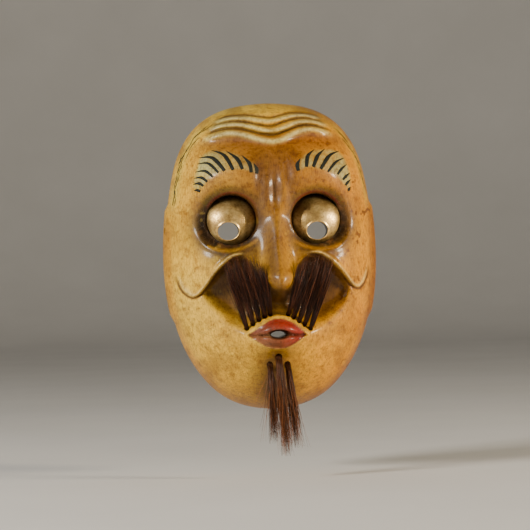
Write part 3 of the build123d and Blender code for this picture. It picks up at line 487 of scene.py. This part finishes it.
# darker down the chin centre, painted shadow of the goatee; darker band over the brows, beside the nose root and at the
# right inner brow
mix((120, 78, 28), 0.62*G(X, Z, 2, -80, 6.5, 17)*(1-LIPM)); mix((120, 76, 26), 0.45*G(X, Z, 0, 57, 26, 12)); mix((96, 62, 24), 0.55*G(X, Z, -5, 36, 5, 20, 0)); mix((100, 66, 26), 0.45*G(X, Z, 13, 38, 3, 12, 0))
for P in (BL, BR):
    d, u, s = near(X, Z, np.array(P + P[:1], float), 6); sd = np.where(inpoly(X, Z, P), d, -d); mix((168, 168, 122), (0.30 + 0.8*(fs-.5) + 0.30*S((np.abs(X)-30)/14))*S((sd+0.4)/2.6)*(~bk))
# pale ridge crests again: painted highlights
for P, w in ((R1, 1.0), (R2, 1.1), (R3, 1.3)):
    d, u, s = near(X, Z, curve(P), 7); mix((206, 200, 150), 0.55*np.exp(-(d/w)**2)*taper(u, .1, .1))
# dark grooves again: painted shade
for P, w in ((G1, 0.8), (G2, 0.85), (G3, 1.0)):
    d, u, s = near(X, Z, curve(P), 7); mix((84, 64, 28), 0.55*np.exp(-(d/w)**2)*taper(u, .1, .1))
# cheek folds again: painted shade in the groove, painted highlight on the ridge
for P, up in ((FOLD_L, 1), (FOLD_R, -1)):
    d, u, s = near(X, Z, curve(P), 9); s = s*up*d; mix((84, 50, 18), 0.75*np.exp(-((s-0.9)/0.7)**2)*taper(u, .1, .15)); mix((236, 206, 140), 0.55*np.exp(-((s+1.0)/0.8)**2)*taper(u, .15, .15))
# darker below the mouth down the chin, painted shadow of the goatee; darker down the middle of the glabella and
# forehead, painted shade; darker along the left of the nose
mid = np.exp(-((X+3.5)/11.0)**2)*(1-LIPM)*(li < 0)
mix((84, 54, 18), 0.86*mid*S((Z+58)/-9)*S((Z+101)/16)); mix((104, 70, 28), 0.34*mid*S((Z-26)/10)*S((72-Z)/10)); mix((92, 64, 28), 0.38*np.exp(-((X+3)/5.0)**2)*S((Z+27)/6)*S((28-Z)/10))
mix((66, 46, 20), 0.12*hol*S((Z-zl-2)/10))
# hollow: dark lacquer; the wear term is zero and not used
if bk.any():
    lac = lin((52, 26, 14))*(1 - 0.25*(fb[:, None]-0.5)*2); wear = S((0.30-np.abs(rho-0.80))/0.3)*0
    C[bk] = lac[bk]
rimm = (h < 2.2) & (rho > 0.84); C[rimm] = lin((96, 62, 34))
A = shell.data.attributes.new("colour_and_painted_light", "FLOAT_COLOR", "POINT"); A.data.foreach_set("color", np.hstack([C, np.ones((nv, 1))]).ravel())
K = np.zeros((nv, 4)); K[:, 0] = bk*1.0; K[:, 1] = np.clip(LIPM, 0, 1)*(~bk); K[:, 2] = np.clip(hol, 0, 1); K[:, 3] = 1
A = shell.data.attributes.new("kind", "FLOAT_COLOR", "POINT"); A.data.foreach_set("color", K.ravel())

# ================================================================ materials
def mat(name):
    m = bpy.data.materials.new(name); m.use_nodes = True; nt = m.node_tree; b = nt.nodes["Principled BSDF"]
    return m, nt, b
class T:
    def __init__(s, nt): s.nt = nt
    def n(s, kind, **kw):
        o = s.nt.nodes.new(kind)
        for k, v in kw.items():
            if k in o.inputs.keys() if hasattr(o.inputs, "keys") else False: o.inputs[k].default_value = v
            else: setattr(o, k, v)
        return o
    def l(s, a, b): s.nt.links.new(a, b)
    def noise(s, vec, scale, detail=4, rough=0.55):
        o = s.nt.nodes.new("ShaderNodeTexNoise"); o.inputs["Scale"].default_value = scale; o.inputs["Detail"].default_value = detail; o.inputs["Roughness"].default_value = rough; s.l(vec, o.inputs["Vector"]); return o.outputs["Fac"]
    def ramp(s, fac, stops):
        o = s.nt.nodes.new("ShaderNodeValToRGB"); e = o.color_ramp.elements
        while len(e) < len(stops): e.new(0.5)
        for q, (p, c) in enumerate(stops): e[q].position = p; e[q].color = (*c, 1) if len(c) == 3 else c
        s.l(fac, o.inputs["Fac"]); return o.outputs["Color"]
    def mixc(s, fac, a, b, mode="MIX"):
        o = s.nt.nodes.new("ShaderNodeMix"); o.data_type = "RGBA"; o.blend_type = mode
        for sock, v in ((o.inputs[0], fac), (o.inputs[6], a), (o.inputs[7], b)):
            if hasattr(v, "is_output"): s.l(v, sock)
            elif isinstance(v, (int, float)): sock.default_value = v
            else: sock.default_value = (*v, 1)
        return o.outputs[2]
    def math(s, op, a, b=0.0, clamp=False):
        o = s.nt.nodes.new("ShaderNodeMath"); o.operation = op; o.use_clamp = clamp
        for sock, v in ((o.inputs[0], a), (o.inputs[1], b)):
            if hasattr(v, "is_output"): s.l(v, sock)
            else: sock.default_value = v
        return o.outputs[0]
    def bump(s, hgt, strength, dist, normal=None):
        o = s.nt.nodes.new("ShaderNodeBump"); o.inputs["Strength"].default_value = strength; o.inputs["Distance"].default_value = dist; s.l(hgt, o.inputs["Height"])
        if normal is not None: s.l(normal, o.inputs["Normal"])
        return o.outputs["Normal"]
def obj(t): return t.n("ShaderNodeTexCoord").outputs["Object"]
# painted and burnished face
m, nt, b = mat("painted_gesso"); t = T(nt); co = obj(t)
pa = t.n("ShaderNodeAttribute", attribute_name="colour_and_painted_light").outputs["Color"]; kd = t.n("ShaderNodeAttribute", attribute_name="kind"); sep = t.n("ShaderNodeSeparateColor"); t.l(kd.outputs["Color"], sep.inputs["Color"])
n1 = t.noise(co, 55, 6, 0.6); n2 = t.noise(co, 420, 5, 0.65); n3 = t.noise(co, 1500, 3, 0.5)
c = t.mixc(1.0, pa, t.ramp(n1, [(0.25, (0.74, 0.70, 0.62)), (0.5, (1, 1, 1)), (0.78, (1.12, 1.10, 1.04))]), "MULTIPLY")
c = t.mixc(0.95, c, t.ramp(n2, [(0.30, (0.55, 0.44, 0.28)), (0.47, (0.98, 0.97, 0.95)), (0.70, (1.14, 1.13, 1.08))]), "MULTIPLY")
mpb = t.n("ShaderNodeMapping"); mpb.inputs["Scale"].default_value = (1, 1, 0.16); mpb.inputs["Rotation"].default_value = (0.0, 0.5, 0.0); t.l(co, mpb.inputs["Vector"])
n4 = t.noise(mpb.outputs[0], 1300, 4, 0.6); c = t.mixc(0.80, c, t.ramp(n4, [(0.32, (0.62, 0.52, 0.38)), (0.50, (1, 1, 1)), (0.70, (1.12, 1.12, 1.08))]), "MULTIPLY")
n5 = t.noise(co, 130, 5, 0.7); c = t.mixc(0.85, c, t.ramp(n5, [(0.30, (0.58, 0.47, 0.30)), (0.47, (1, 1, 1)), (0.70, (1.10, 1.08, 1.02))]), "MULTIPLY")
# fine age cracks, only in patches
wv = t.n("ShaderNodeVectorMath", operation="ADD"); nn = t.n("ShaderNodeTexNoise"); nn.inputs["Scale"].default_value = 220; t.l(co, nn.inputs["Vector"])
sc_ = t.n("ShaderNodeVectorMath", operation="SCALE"); t.l(nn.outputs["Color"], sc_.inputs[0]); sc_.inputs["Scale"].default_value = 0.0016; t.l(co, wv.inputs[0]); t.l(sc_.outputs[0], wv.inputs[1])
vo = t.n("ShaderNodeTexVoronoi", feature="DISTANCE_TO_EDGE"); vo.inputs["Scale"].default_value = 270; t.l(wv.outputs[0], vo.inputs["Vector"])
crack = t.ramp(vo.outputs["Distance"], [(0.0, (1, 1, 1)), (0.035, (0, 0, 0))]); patch = t.ramp(t.noise(co, 38, 3), [(0.38, (0, 0, 0)), (0.58, (1, 1, 1))])
ck = t.math("MULTIPLY", crack, patch); ck2 = t.math("MULTIPLY", ck, 0.50)
c = t.mixc(ck2, c, (0.16, 0.085, 0.03))
# specks of dirt
vs = t.n("ShaderNodeTexVoronoi"); vs.inputs["Scale"].default_value = 420; t.l(co, vs.inputs["Vector"])
spk = t.math("MULTIPLY", t.ramp(vs.outputs["Distance"], [(0.10, (1, 1, 1)), (0.20, (0, 0, 0))]), t.ramp(t.noise(co, 140, 2), [(0.50, (0, 0, 0)), (0.60, (1, 1, 1))]))
c = t.mixc(t.math("MULTIPLY", spk, 0.7), c, (0.12, 0.06, 0.022))
t.l(c, b.inputs["Base Color"])
rf = t.ramp(n2, [(0.3, (0.42,)*3), (0.7, (0.62,)*3)]); t.l(t.mixc(sep.outputs["Red"], rf, (0.34, 0.34, 0.34)), b.inputs["Roughness"])
b.inputs["Coat Weight"].default_value = 0.20; b.inputs["Coat Roughness"].default_value = 0.17; b.inputs["Specular IOR Level"].default_value = 0.24
hb_ = t.math("ADD", t.math("MULTIPLY", n2, 0.35), t.math("MULTIPLY", ck, -1.0)); nb = t.bump(hb_, 0.5, 0.00025); nb = t.bump(n3, 0.12, 0.00010, nb); t.l(nb, b.inputs["Normal"])
MAT_FACE = m
# brush-drawn ink
m, nt, b = mat("brush_ink"); t = T(nt); co = obj(t); n1 = t.noise(co, 900, 4)
t.l(t.ramp(n1, [(0.3, (0.006, 0.007, 0.005)), (0.7, (0.020, 0.022, 0.015))]), b.inputs["Base Color"]); t.l(t.ramp(n1, [(0.3, (0.55,)*3), (0.7, (0.75,)*3)]), b.inputs["Roughness"]); b.inputs["Specular IOR Level"].default_value = 0.18; MAT_INK = m
# old gilt copper
m, nt, b = mat("aged_gilt_copper"); t = T(nt); co = obj(t); n1 = t.noise(co, 90, 6, 0.62); n2 = t.noise(co, 620, 5, 0.6)
c = t.ramp(n1, [(0.30, (0.20, 0.115, 0.035)), (0.48, (0.44, 0.29, 0.10)), (0.66, (0.66, 0.48, 0.20)), (0.80, (0.78, 0.60, 0.30))])
c = t.mixc(0.75, c, t.ramp(n2, [(0.30, (0.45, 0.36, 0.26)), (0.52, (1, 1, 1)), (0.75, (1.1, 1.08, 1.0))]), "MULTIPLY")
pa = t.n("ShaderNodeAttribute", attribute_name="colour_and_painted_light").outputs["Color"]; c = t.mixc(1.0, c, pa, "MULTIPLY")
t.l(c, b.inputs["Base Color"]); b.inputs["Metallic"].default_value = 0.72; t.l(t.ramp(n2, [(0.3, (0.44,)*3), (0.7, (0.30,)*3)]), b.inputs["Roughness"])
t.l(t.bump(t.math("ADD", n2, n1), 0.35, 0.0003), b.inputs["Normal"]); MAT_GILT = m
# hair
def hair_mat(name, dark, light):
    m, nt, b = mat(name); t = T(nt); co = obj(t)
    at = t.n("ShaderNodeAttribute", attribute_name="strand"); f = at.outputs["Fac"]
    c = t.ramp(f, [(0.0, dark), (0.6, tuple(0.6*d + 0.4*l for d, l in zip(dark, light))), (1.0, light)]); c = t.mixc(0.5, c, t.ramp(t.noise(co, 300, 3), [(0.3, (0.6, 0.58, 0.55)), (0.7, (1.2, 1.15, 1.1))]), "MULTIPLY")
    t.l(c, b.inputs["Base Color"]); t.l(t.ramp(t.noise(co, 800, 2), [(0.3, (0.34,)*3), (0.7, (0.50,)*3)]), b.inputs["Roughness"]); b.inputs["Specular IOR Level"].default_value = 0.28
    return m
MAT_HAIR = hair_mat("dark_horsehair", (0.008, 0.0040, 0.0030), (0.26, 0.075, 0.028)); MAT_GOAT = hair_mat("auburn_horsehair", (0.018, 0.007, 0.0035), (0.42, 0.13, 0.034))
m, nt, b = mat("peg_wood"); t = T(nt); co = obj(t); mp = t.n("ShaderNodeMapping"); mp.inputs["Scale"].default_value = (1, 0.12, 1); t.l(co, mp.inputs["Vector"]); n1 = t.noise(mp.outputs[0], 1600, 5)
t.l(t.ramp(n1, [(0.3, (0.20, 0.115, 0.05)), (0.7, (0.46, 0.31, 0.16))]), b.inputs["Base Color"]); t.l(t.ramp(n1, [(0.3, (0.7,)*3), (0.7, (0.55,)*3)]), b.inputs["Roughness"]); t.l(t.bump(n1, 0.4, 0.0002), b.inputs["Normal"]); MAT_PEG = m

shell.data.materials.clear(); shell.data.materials.append(MAT_FACE)
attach(shell, "root"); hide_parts("mask_shell")

# ================================================================ painted brows and temple curls: thin lens-shaped strokes on the surface
def strokes(name, paths):
    V, F, lifts = [], [], []
    for P, w0, w1, w2, lift in paths:
        c = curve(P, 10 if len(P) < 4 else 5); L = np.concatenate([[0], np.cumsum(np.hypot(*np.diff(c, axis=0).T))]); u = L/L[-1]; n = len(c)
        wv_ = np.interp(u, [0, 0.55, 1], [w0, w1, w2]); tg = np.gradient(c, axis=0); tg /= np.hypot(*tg.T)[:, None]; nm = np.stack([-tg[:, 1], tg[:, 0]], -1)
        s0 = len(V)
        for k in range(n):
            for q, (f, up) in enumerate(((-1, 0.02), (-0.5, 0.75), (0, 1.0), (0.5, 0.75), (1, 0.02), (0, -1.2))):
                x, z = c[k] + nm[k]*f*wv_[k]/2; V.append((x, 0.0, z)); lifts.append(lift*up)
        for k in range(n-1):
            for q in range(6):
                a, b2 = s0+k*6+q, s0+k*6+(q+1) % 6; F.append((a, b2, b2+6, a+6))
        F.append([s0+q for q in range(6)][::-1]); F.append([s0+(n-1)*6+q for q in range(6)])
    V = np.array(V); V[:, 1] = surf(V[:, 0], V[:, 2]) + np.array(lifts)
    ob = outward(new_mesh(name, V, F)); ob.data.materials.append(MAT_INK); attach(ob, "root"); return ob
BROW_L = [[(-12.2, 59.3), (-10.4, 55), (-10.8, 52.6)], [(-19.8, 64.9), (-15.2, 59.3), (-14.2, 53.4)], [(-29.3, 68), (-22.8, 62.6), (-19.7, 55.7)], [(-38.4, 69), (-30.7, 65.2), (-25.6, 55.4)],
          [(-46.3, 64.4), (-38, 63.7), (-31.0, 55.0)], [(-47.7, 60.4), (-40.8, 60.2), (-35.0, 54.0)], [(-49.2, 55.1), (-43.2, 55.4), (-38.4, 51.3)], [(-50.1, 51.1), (-45.6, 51.3), (-42.0, 48.4)],
          [(-50.8, 47.2), (-47.1, 47.6), (-44.5, 45.8)], [(-50.4, 43.2), (-48.5, 43.4), (-46.4, 42.4)]]
BROW_R = [[(17.7, 61.8), (15.5, 57.8), (15.9, 53.8)], [(27.3, 67.6), (22.6, 63.2), (21.2, 56.2)], [(34.5, 68), (29.3, 63.5), (25.6, 56.1)], [(44.2, 66.7), (37, 63.4), (30.4, 54.7)],
          [(47.4, 62.1), (41, 59.2), (35.1, 52.8)], [(49, 58), (45.1, 55.1), (41.6, 51.2)], [(50.7, 52.4), (48.1, 50.4), (45.1, 47.8)], [(51.0, 48.0), (48.8, 46.2), (47, 44.2)], [(50.8, 43.4), (49.8, 42.0), (48.9, 40.6)]]
strokes("brow_strokes", [(P, 0.3, 2.75 if abs(P[0][0]) < 47 else 2.0, 2.2 if abs(P[0][0]) < 47 else 1.4, 0.10) for P in BROW_L + BROW_R])
cur = []
g = np.random.default_rng(5)
for sx, z0, z1, n in ((-1, 40, 92, 34), (1, 52, 88, 22)):
    for zc in np.linspace(z0, z1, n):
        rr = 0.942 + 0.026*g.random() - (0.015 if zc > 74 else 0); ln = g.uniform(4.5, 7.5); am = g.uniform(0.001, 0.003); ph = g.uniform(0, 6.28); P = []
        for t_ in np.linspace(0, 1, 6):
            z = zc - ln*t_; q_ = min(0.982, rr + am*math.sin(ph + 5*t_) + 0.007*t_)
            P.append((sx*q_*float(np.interp(z, OUT[::-1, 0], OUT[::-1, 1])), z*q_))
        cur.append((P, 0.15, 0.42, 0.12, 0.05))
strokes("temple_curls", cur)

# ================================================================ eye plates
def eye_plate(e, name, node):
    (cx, cz), (px, pz) = EYE[e], PUPIL[e]; n, m_ = 128, 22
    a = np.linspace(0, 2*np.pi, n, endpoint=False); inner = np.stack([px + PRX*np.cos(a), pz + PRZ*np.sin(a)], -1); outer_ = []
    for t_ in a:
        d = np.array([math.cos(t_)*PRX, math.sin(t_)*PRZ]); d /= np.hypot(*d); best = 1e9
        for (ox, oz, R) in ((cx, cz, 15.75), (cx, cz-DROP, 19.3)):
            ex, ez = px-ox, pz-oz; bq = ex*d[0] + ez*d[1]; best = min(best, -bq + math.sqrt(bq*bq - (ex*ex + ez*ez - R*R)))
        outer_.append((px + d[0]*best, pz + d[1]*best))
    outer_ = np.array(outer_); V, F = [], []
    ts = np.linspace(0, 1, m_)**1.25
    for layer in (0, 1):
        for k, t_ in enumerate(ts):
            P = inner*(1-t_) + outer_*t_; hh = ball_h(P[:, 0], P[:, 1], e, 0.05 if layer else 0.75)
            dd = np.hypot(P[:, 0]-px, P[:, 1]-pz); hh = hh + (0 if layer else 1)*0.38*np.exp(-((np.hypot((P[:, 0]-px)/PRX, (P[:, 1]-pz)/PRZ)-1.06)/0.05)**2)
            V += list(zip(P[:, 0], hh, P[:, 1]))
    for layer in (0, 1):
        o = layer*n*m_
        for k in range(m_-1):
            for q in range(n):
                j = (q+1) % n; f = (o+k*n+q, o+(k+1)*n+q, o+(k+1)*n+j, o+k*n+j); F.append(f if not layer else f[::-1])
    for k, rev in ((0, 1), (m_-1, 0)):
        for q in range(n):
            j = (q+1) % n; F.append((k*n+q, k*n+j, n*m_+k*n+j, n*m_+k*n+q))
    ob = outward(new_mesh(name, V, F)); Xp, hp, Zp = coords(ob)
    # colour for the gilt eyes: darker towards the top and the edge, painted shade under the lid; a lighter patch above
    # the pupil, painted highlight; a bright band round the pupil for its cut edge
    up = S((Zp-cz+2)/14); ed = np.hypot(Xp-cx, Zp-cz)/15.75; near_p = np.exp(-((np.hypot((Xp-px)/PRX, (Zp-pz)/PRZ)-1.05)/0.10)**2)
    f = 0.98 - 0.30*up*S((ed-0.45)/0.55) - 0.45*S((ed-0.80)/0.20) + 0.20*G(Xp, Zp, px - 1, pz + 9, 8, 6) + 0.9*near_p
    f = np.clip(f, 0.14, 2.0); col = np.stack([f, f*0.98, f*0.92, np.ones_like(f)], -1)
    A = ob.data.attributes.new("colour_and_painted_light", "FLOAT_COLOR", "POINT"); A.data.foreach_set("color", col.ravel()); ob.data.set_sharp_from_angle(angle=math.radians(45))
    ob.data.materials.append(MAT_GILT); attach(ob, "root"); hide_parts(node); return ob
eye_plate(0, "gilt_eye_left", "eye_plate_left"); eye_plate(1, "gilt_eye_right", "eye_plate_right")

# ================================================================ hair
def tubes(name, hairs, mat_, sides=3):
    V, F, A = [], [], []
    for pts, rad, val in hairs:
        pts = np.asarray(pts); n = len(pts); tg = np.gradient(pts, axis=0); tg /= np.linalg.norm(tg, axis=1)[:, None]
        ref = np.array([1.0, 0.15, 0.05]); s0 = len(V)
        for k in range(n):
            u = np.cross(tg[k], ref); u /= np.linalg.norm(u); v = np.cross(tg[k], u)
            for q in range(sides):
                a = 2*math.pi*q/sides + val*6.28; V.append(pts[k] + rad[k]*(u*math.cos(a) + v*math.sin(a))); A.append(val*(0.25 + 0.75*min(1.0, 1.5*k/(n-1))))
        for k in range(n-1):
            for q in range(sides):
                a, b2 = s0+k*sides+q, s0+k*sides+(q+1) % sides; F.append((a, a+sides, b2+sides, b2))
        F.append([s0+q for q in range(sides)]); F.append([s0+(n-1)*sides+q for q in range(sides)][::-1])
    ob = new_mesh(name, V, F); at = ob.data.attributes.new("strand", "FLOAT", "POINT"); at.data.foreach_set("value", np.asarray(A, float)); ob.data.materials.append(mat_); return ob
def bez(P, n):
    c = np.asarray(P, float); Q = []
    L = np.concatenate([[0], np.cumsum(np.linalg.norm(np.diff(c, axis=0), axis=1))]); 
    from_ = []
    for i in range(len(c)-1):
        p0, p1, p2, p3 = c[max(i-1, 0)], c[i], c[i+1], c[min(i+2, len(c)-1)]
        for t_ in np.linspace(0, 1, 9)[(0 if i == 0 else 1):]:
            Q.append(0.5*((2*p1) + (p2-p0)*t_ + (2*p0-5*p1+4*p2-p3)*t_*t_ + (3*p1-p0-3*p2+p3)*t_**3))
    Q = np.array(Q); L = np.concatenate([[0], np.cumsum(np.linalg.norm(np.diff(Q, axis=0), axis=1))]); s = np.linspace(0, L[-1], n)
    return np.stack([np.interp(s, L, Q[:, k]) for k in range(3)], -1)
for idx, (nm, rx, rz, tx, tz, thh, bow) in enumerate(LM):
    g = np.random.default_rng(100+idx); hs0 = float(surf(rx, rz)); hairs = []
    tipc = np.array([tx, tz]); rootc = np.array([rx, rz]); sx = -1 if rx < 0 else 1
    for k in range(230):
        ra, rr = g.uniform(0, 2*math.pi), 1.42*math.sqrt(g.random()); ox, oz = rr*math.cos(ra), rr*math.sin(ra)
        ln = 1.02 - 0.36*g.random()**1.1 + 0.07*g.standard_normal(); ln = min(ln, 1.14)
        if g.random() < 0.08: ln *= g.uniform(0.5, 0.85)
        sp = 1.35 + 0.5*g.random(); lx = ox*sp + g.standard_normal()*1.25; lh = oz*0.65 + g.standard_normal()*0.5
        if g.random() < 0.10: lx += g.standard_normal()*2.4; lh += abs(g.standard_normal())*1.0
        P = [(rx+ox, hs0-3.0, rz+oz), (rx+ox, hs0-0.3, rz+oz), (rx+ox*1.0, hs0+1.5+oz*0.25, rz+oz*0.5+0.5)]
        for u in (0.09, 0.25, 0.5, 0.75, 1.0):
            w = u*ln; x = rx + (tx-rx)*w + ox*(1-u) + lx*u; z = rz + (tz-rz)*w + (oz*0.15)*(1-u)
            hh = (hs0+2.4)*(1-w) + thh*w + bow*math.sin(math.pi*min(w, 1)) + (-oz*0.9)*(1-u) + lh*u + 0.25*g.standard_normal()*u
            P.append((x, min(hh, 78.6), z))
        pts = bez(P, 12); rad = 0.115*(0.8 + 0.4*g.random())*np.interp(np.linspace(0, 1, 12), [0, 0.7, 1], [1, 0.9, 0.25])
        hairs.append((pts, rad, g.random()**2.3))
    ob = tubes("moustache_hair_"+nm, hairs, MAT_HAIR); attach(ob, "root"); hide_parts("moustache_tuft_"+nm)
for idx, (nm, rx, rz, rt, ex, ez, eh) in enumerate(LG):
    g = np.random.default_rng(200+idx); hs0 = float(surf(rx, rz)); hairs = []
    for k in range(300 if nm == "centre" else 230):
        ra, rr = g.uniform(0, 2*math.pi), (rt-0.08)*math.sqrt(g.random()); ox, oz = rr*math.cos(ra), rr*math.sin(ra)
        ln = 1.0 - 0.38*g.random()**1.2; stray = g.random() < 0.10
        if g.random() < 0.06: ln = g.uniform(0.45, 0.8)
        lx = ox*1.3 + g.standard_normal()*1.5; lh = -oz*0.8 + g.standard_normal()*0.8; wav = g.uniform(0.2, 0.9); phs = g.uniform(0, 6.28)
        if stray: lx += g.standard_normal()*4.2; lh += g.standard_normal()*2.0
        P = [(rx+ox, hs0-3.0, rz+oz), (rx+ox, hs0-0.2, rz+oz), (rx+ox, hs0+1.8-oz*0.3, rz+oz*0.4-0.6)]
        for u in (0.07, 0.2, 0.38, 0.56, 0.74, 0.88, 1.0):
            w = u*ln; x = rx + (ex-rx)*w + ox*(1-u) + lx*u**1.3 + wav*math.sin(phs + 5*u)*u; z = rz + (ez-rz)*w
            hh = (hs0 + 3.2 + 6.0*float(S(w/0.35)))*(1-w) + eh*w + (-oz*0.9)*(1-u) + lh*u + wav*math.cos(phs + 4*u)*u
            P.append((x, hh, z))
        pts = bez(P, 17); rad = 0.12*(0.8 + 0.4*g.random())*np.interp(np.linspace(0, 1, 17), [0, 0.7, 1], [1, 0.85, 0.25])
        hairs.append((pts, rad, g.random()**1.5))
    ob = tubes("goatee_hair_"+nm, hairs, MAT_GOAT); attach(ob, "root"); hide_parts("goatee_tuft_"+nm)
for nm, o in frame["nodes"].items():
    if "peg" in nm:
        o.data.materials.clear(); o.data.materials.append(MAT_PEG)

# ================================================================ set, camera and light
FLOOR_Z = -0.142
def cyclorama():
    """a round pale floor that curves up all round, far enough away for every view"""
    RO, RF, n = 3.2, 0.9, 96; P = [(r_, FLOOR_Z) for r_ in (0.25, 0.6, 1.1, 1.7, RO-RF)]
    for a in np.linspace(0, 90, 13)[1:]: P.append((RO-RF + RF*math.sin(math.radians(a)), FLOOR_Z + RF*(1-math.cos(math.radians(a)))))
    P.append((RO, 2.4)); V = [(0.0, 0.0, FLOOR_Z)]; F = []
    for r_, z in P:
        for k in range(n): a = 2*math.pi*k/n; V.append((r_*math.cos(a), r_*math.sin(a), z))
    for k in range(n):
        j = (k+1) % n; F.append((0, 1+k, 1+j))
        for i in range(len(P)-1): F.append((1+i*n+k, 1+(i+1)*n+k, 1+(i+1)*n+j, 1+i*n+j))
    me = bpy.data.meshes.new("studio_sweep"); me.from_pydata(V, [], F); me.update(); me.polygons.foreach_set("use_smooth", [True]*len(F))
    ob = bpy.data.objects.new("studio_sweep", me); sc.collection.objects.link(ob); return ob
sweep = cyclorama(); m, nt, b = mat("sweep_paper"); t = T(nt); co = obj(t); n1 = t.noise(co, 6, 3)
t.l(t.ramp(n1, [(0.3, (0.60, 0.59, 0.57)), (0.7, (0.64, 0.63, 0.61))]), b.inputs["Base Color"]); b.inputs["Roughness"].default_value = 0.85; sweep.data.materials.append(m)
cam = bpy.data.cameras.new("cam"); co_ = bpy.data.objects.new("cam", cam); sc.collection.objects.link(co_); sc.camera = co_
AZ, DIST, ROLL = math.radians(-4.0), 1.6, 1.5
bk_ = Vector((math.sin(AZ), -math.cos(AZ), 0.0)); co_.location = bk_*DIST
q = (-bk_).to_track_quat('-Z', 'Y') @ Quaternion((0, 0, 1), math.radians(-ROLL)); co_.rotation_mode = 'QUATERNION'; co_.rotation_quaternion = q
cam.sensor_width = 36; cam.lens = 36*DIST/0.350; cam.shift_x = -4.5/530; cam.shift_y = -9/530; cam.clip_start = 0.05
def area(loc, size, power, col, size_y=None):
    l = bpy.data.lights.new("soft", "AREA"); l.energy = power; l.color = col; l.size = size
    if size_y: l.shape = "RECTANGLE"; l.size_y = size_y
    ob = bpy.data.objects.new("soft", l); ob.location = loc; ob.rotation_mode = 'QUATERNION'
    ob.rotation_quaternion = (Vector((0, -0.03, -0.01)) - Vector(loc)).to_track_quat('-Z', 'Y'); sc.collection.objects.link(ob)
area((-1.32, -0.80, 0.62), 0.40, 35.0, (1.0, 0.955, 0.88)); area((1.36, -0.66, 0.30), 0.26, 32.0, (1.0, 0.86, 0.64)); area((0.1, -1.5, 0.25), 0.7, 0.8, (1.0, 0.95, 0.88))
w = bpy.data.worlds.new("w"); sc.world = w; w.use_nodes = True; w.node_tree.nodes["Background"].inputs[0].default_value = (1, 1, 1, 1); w.node_tree.nodes["Background"].inputs[1].default_value = 0.10
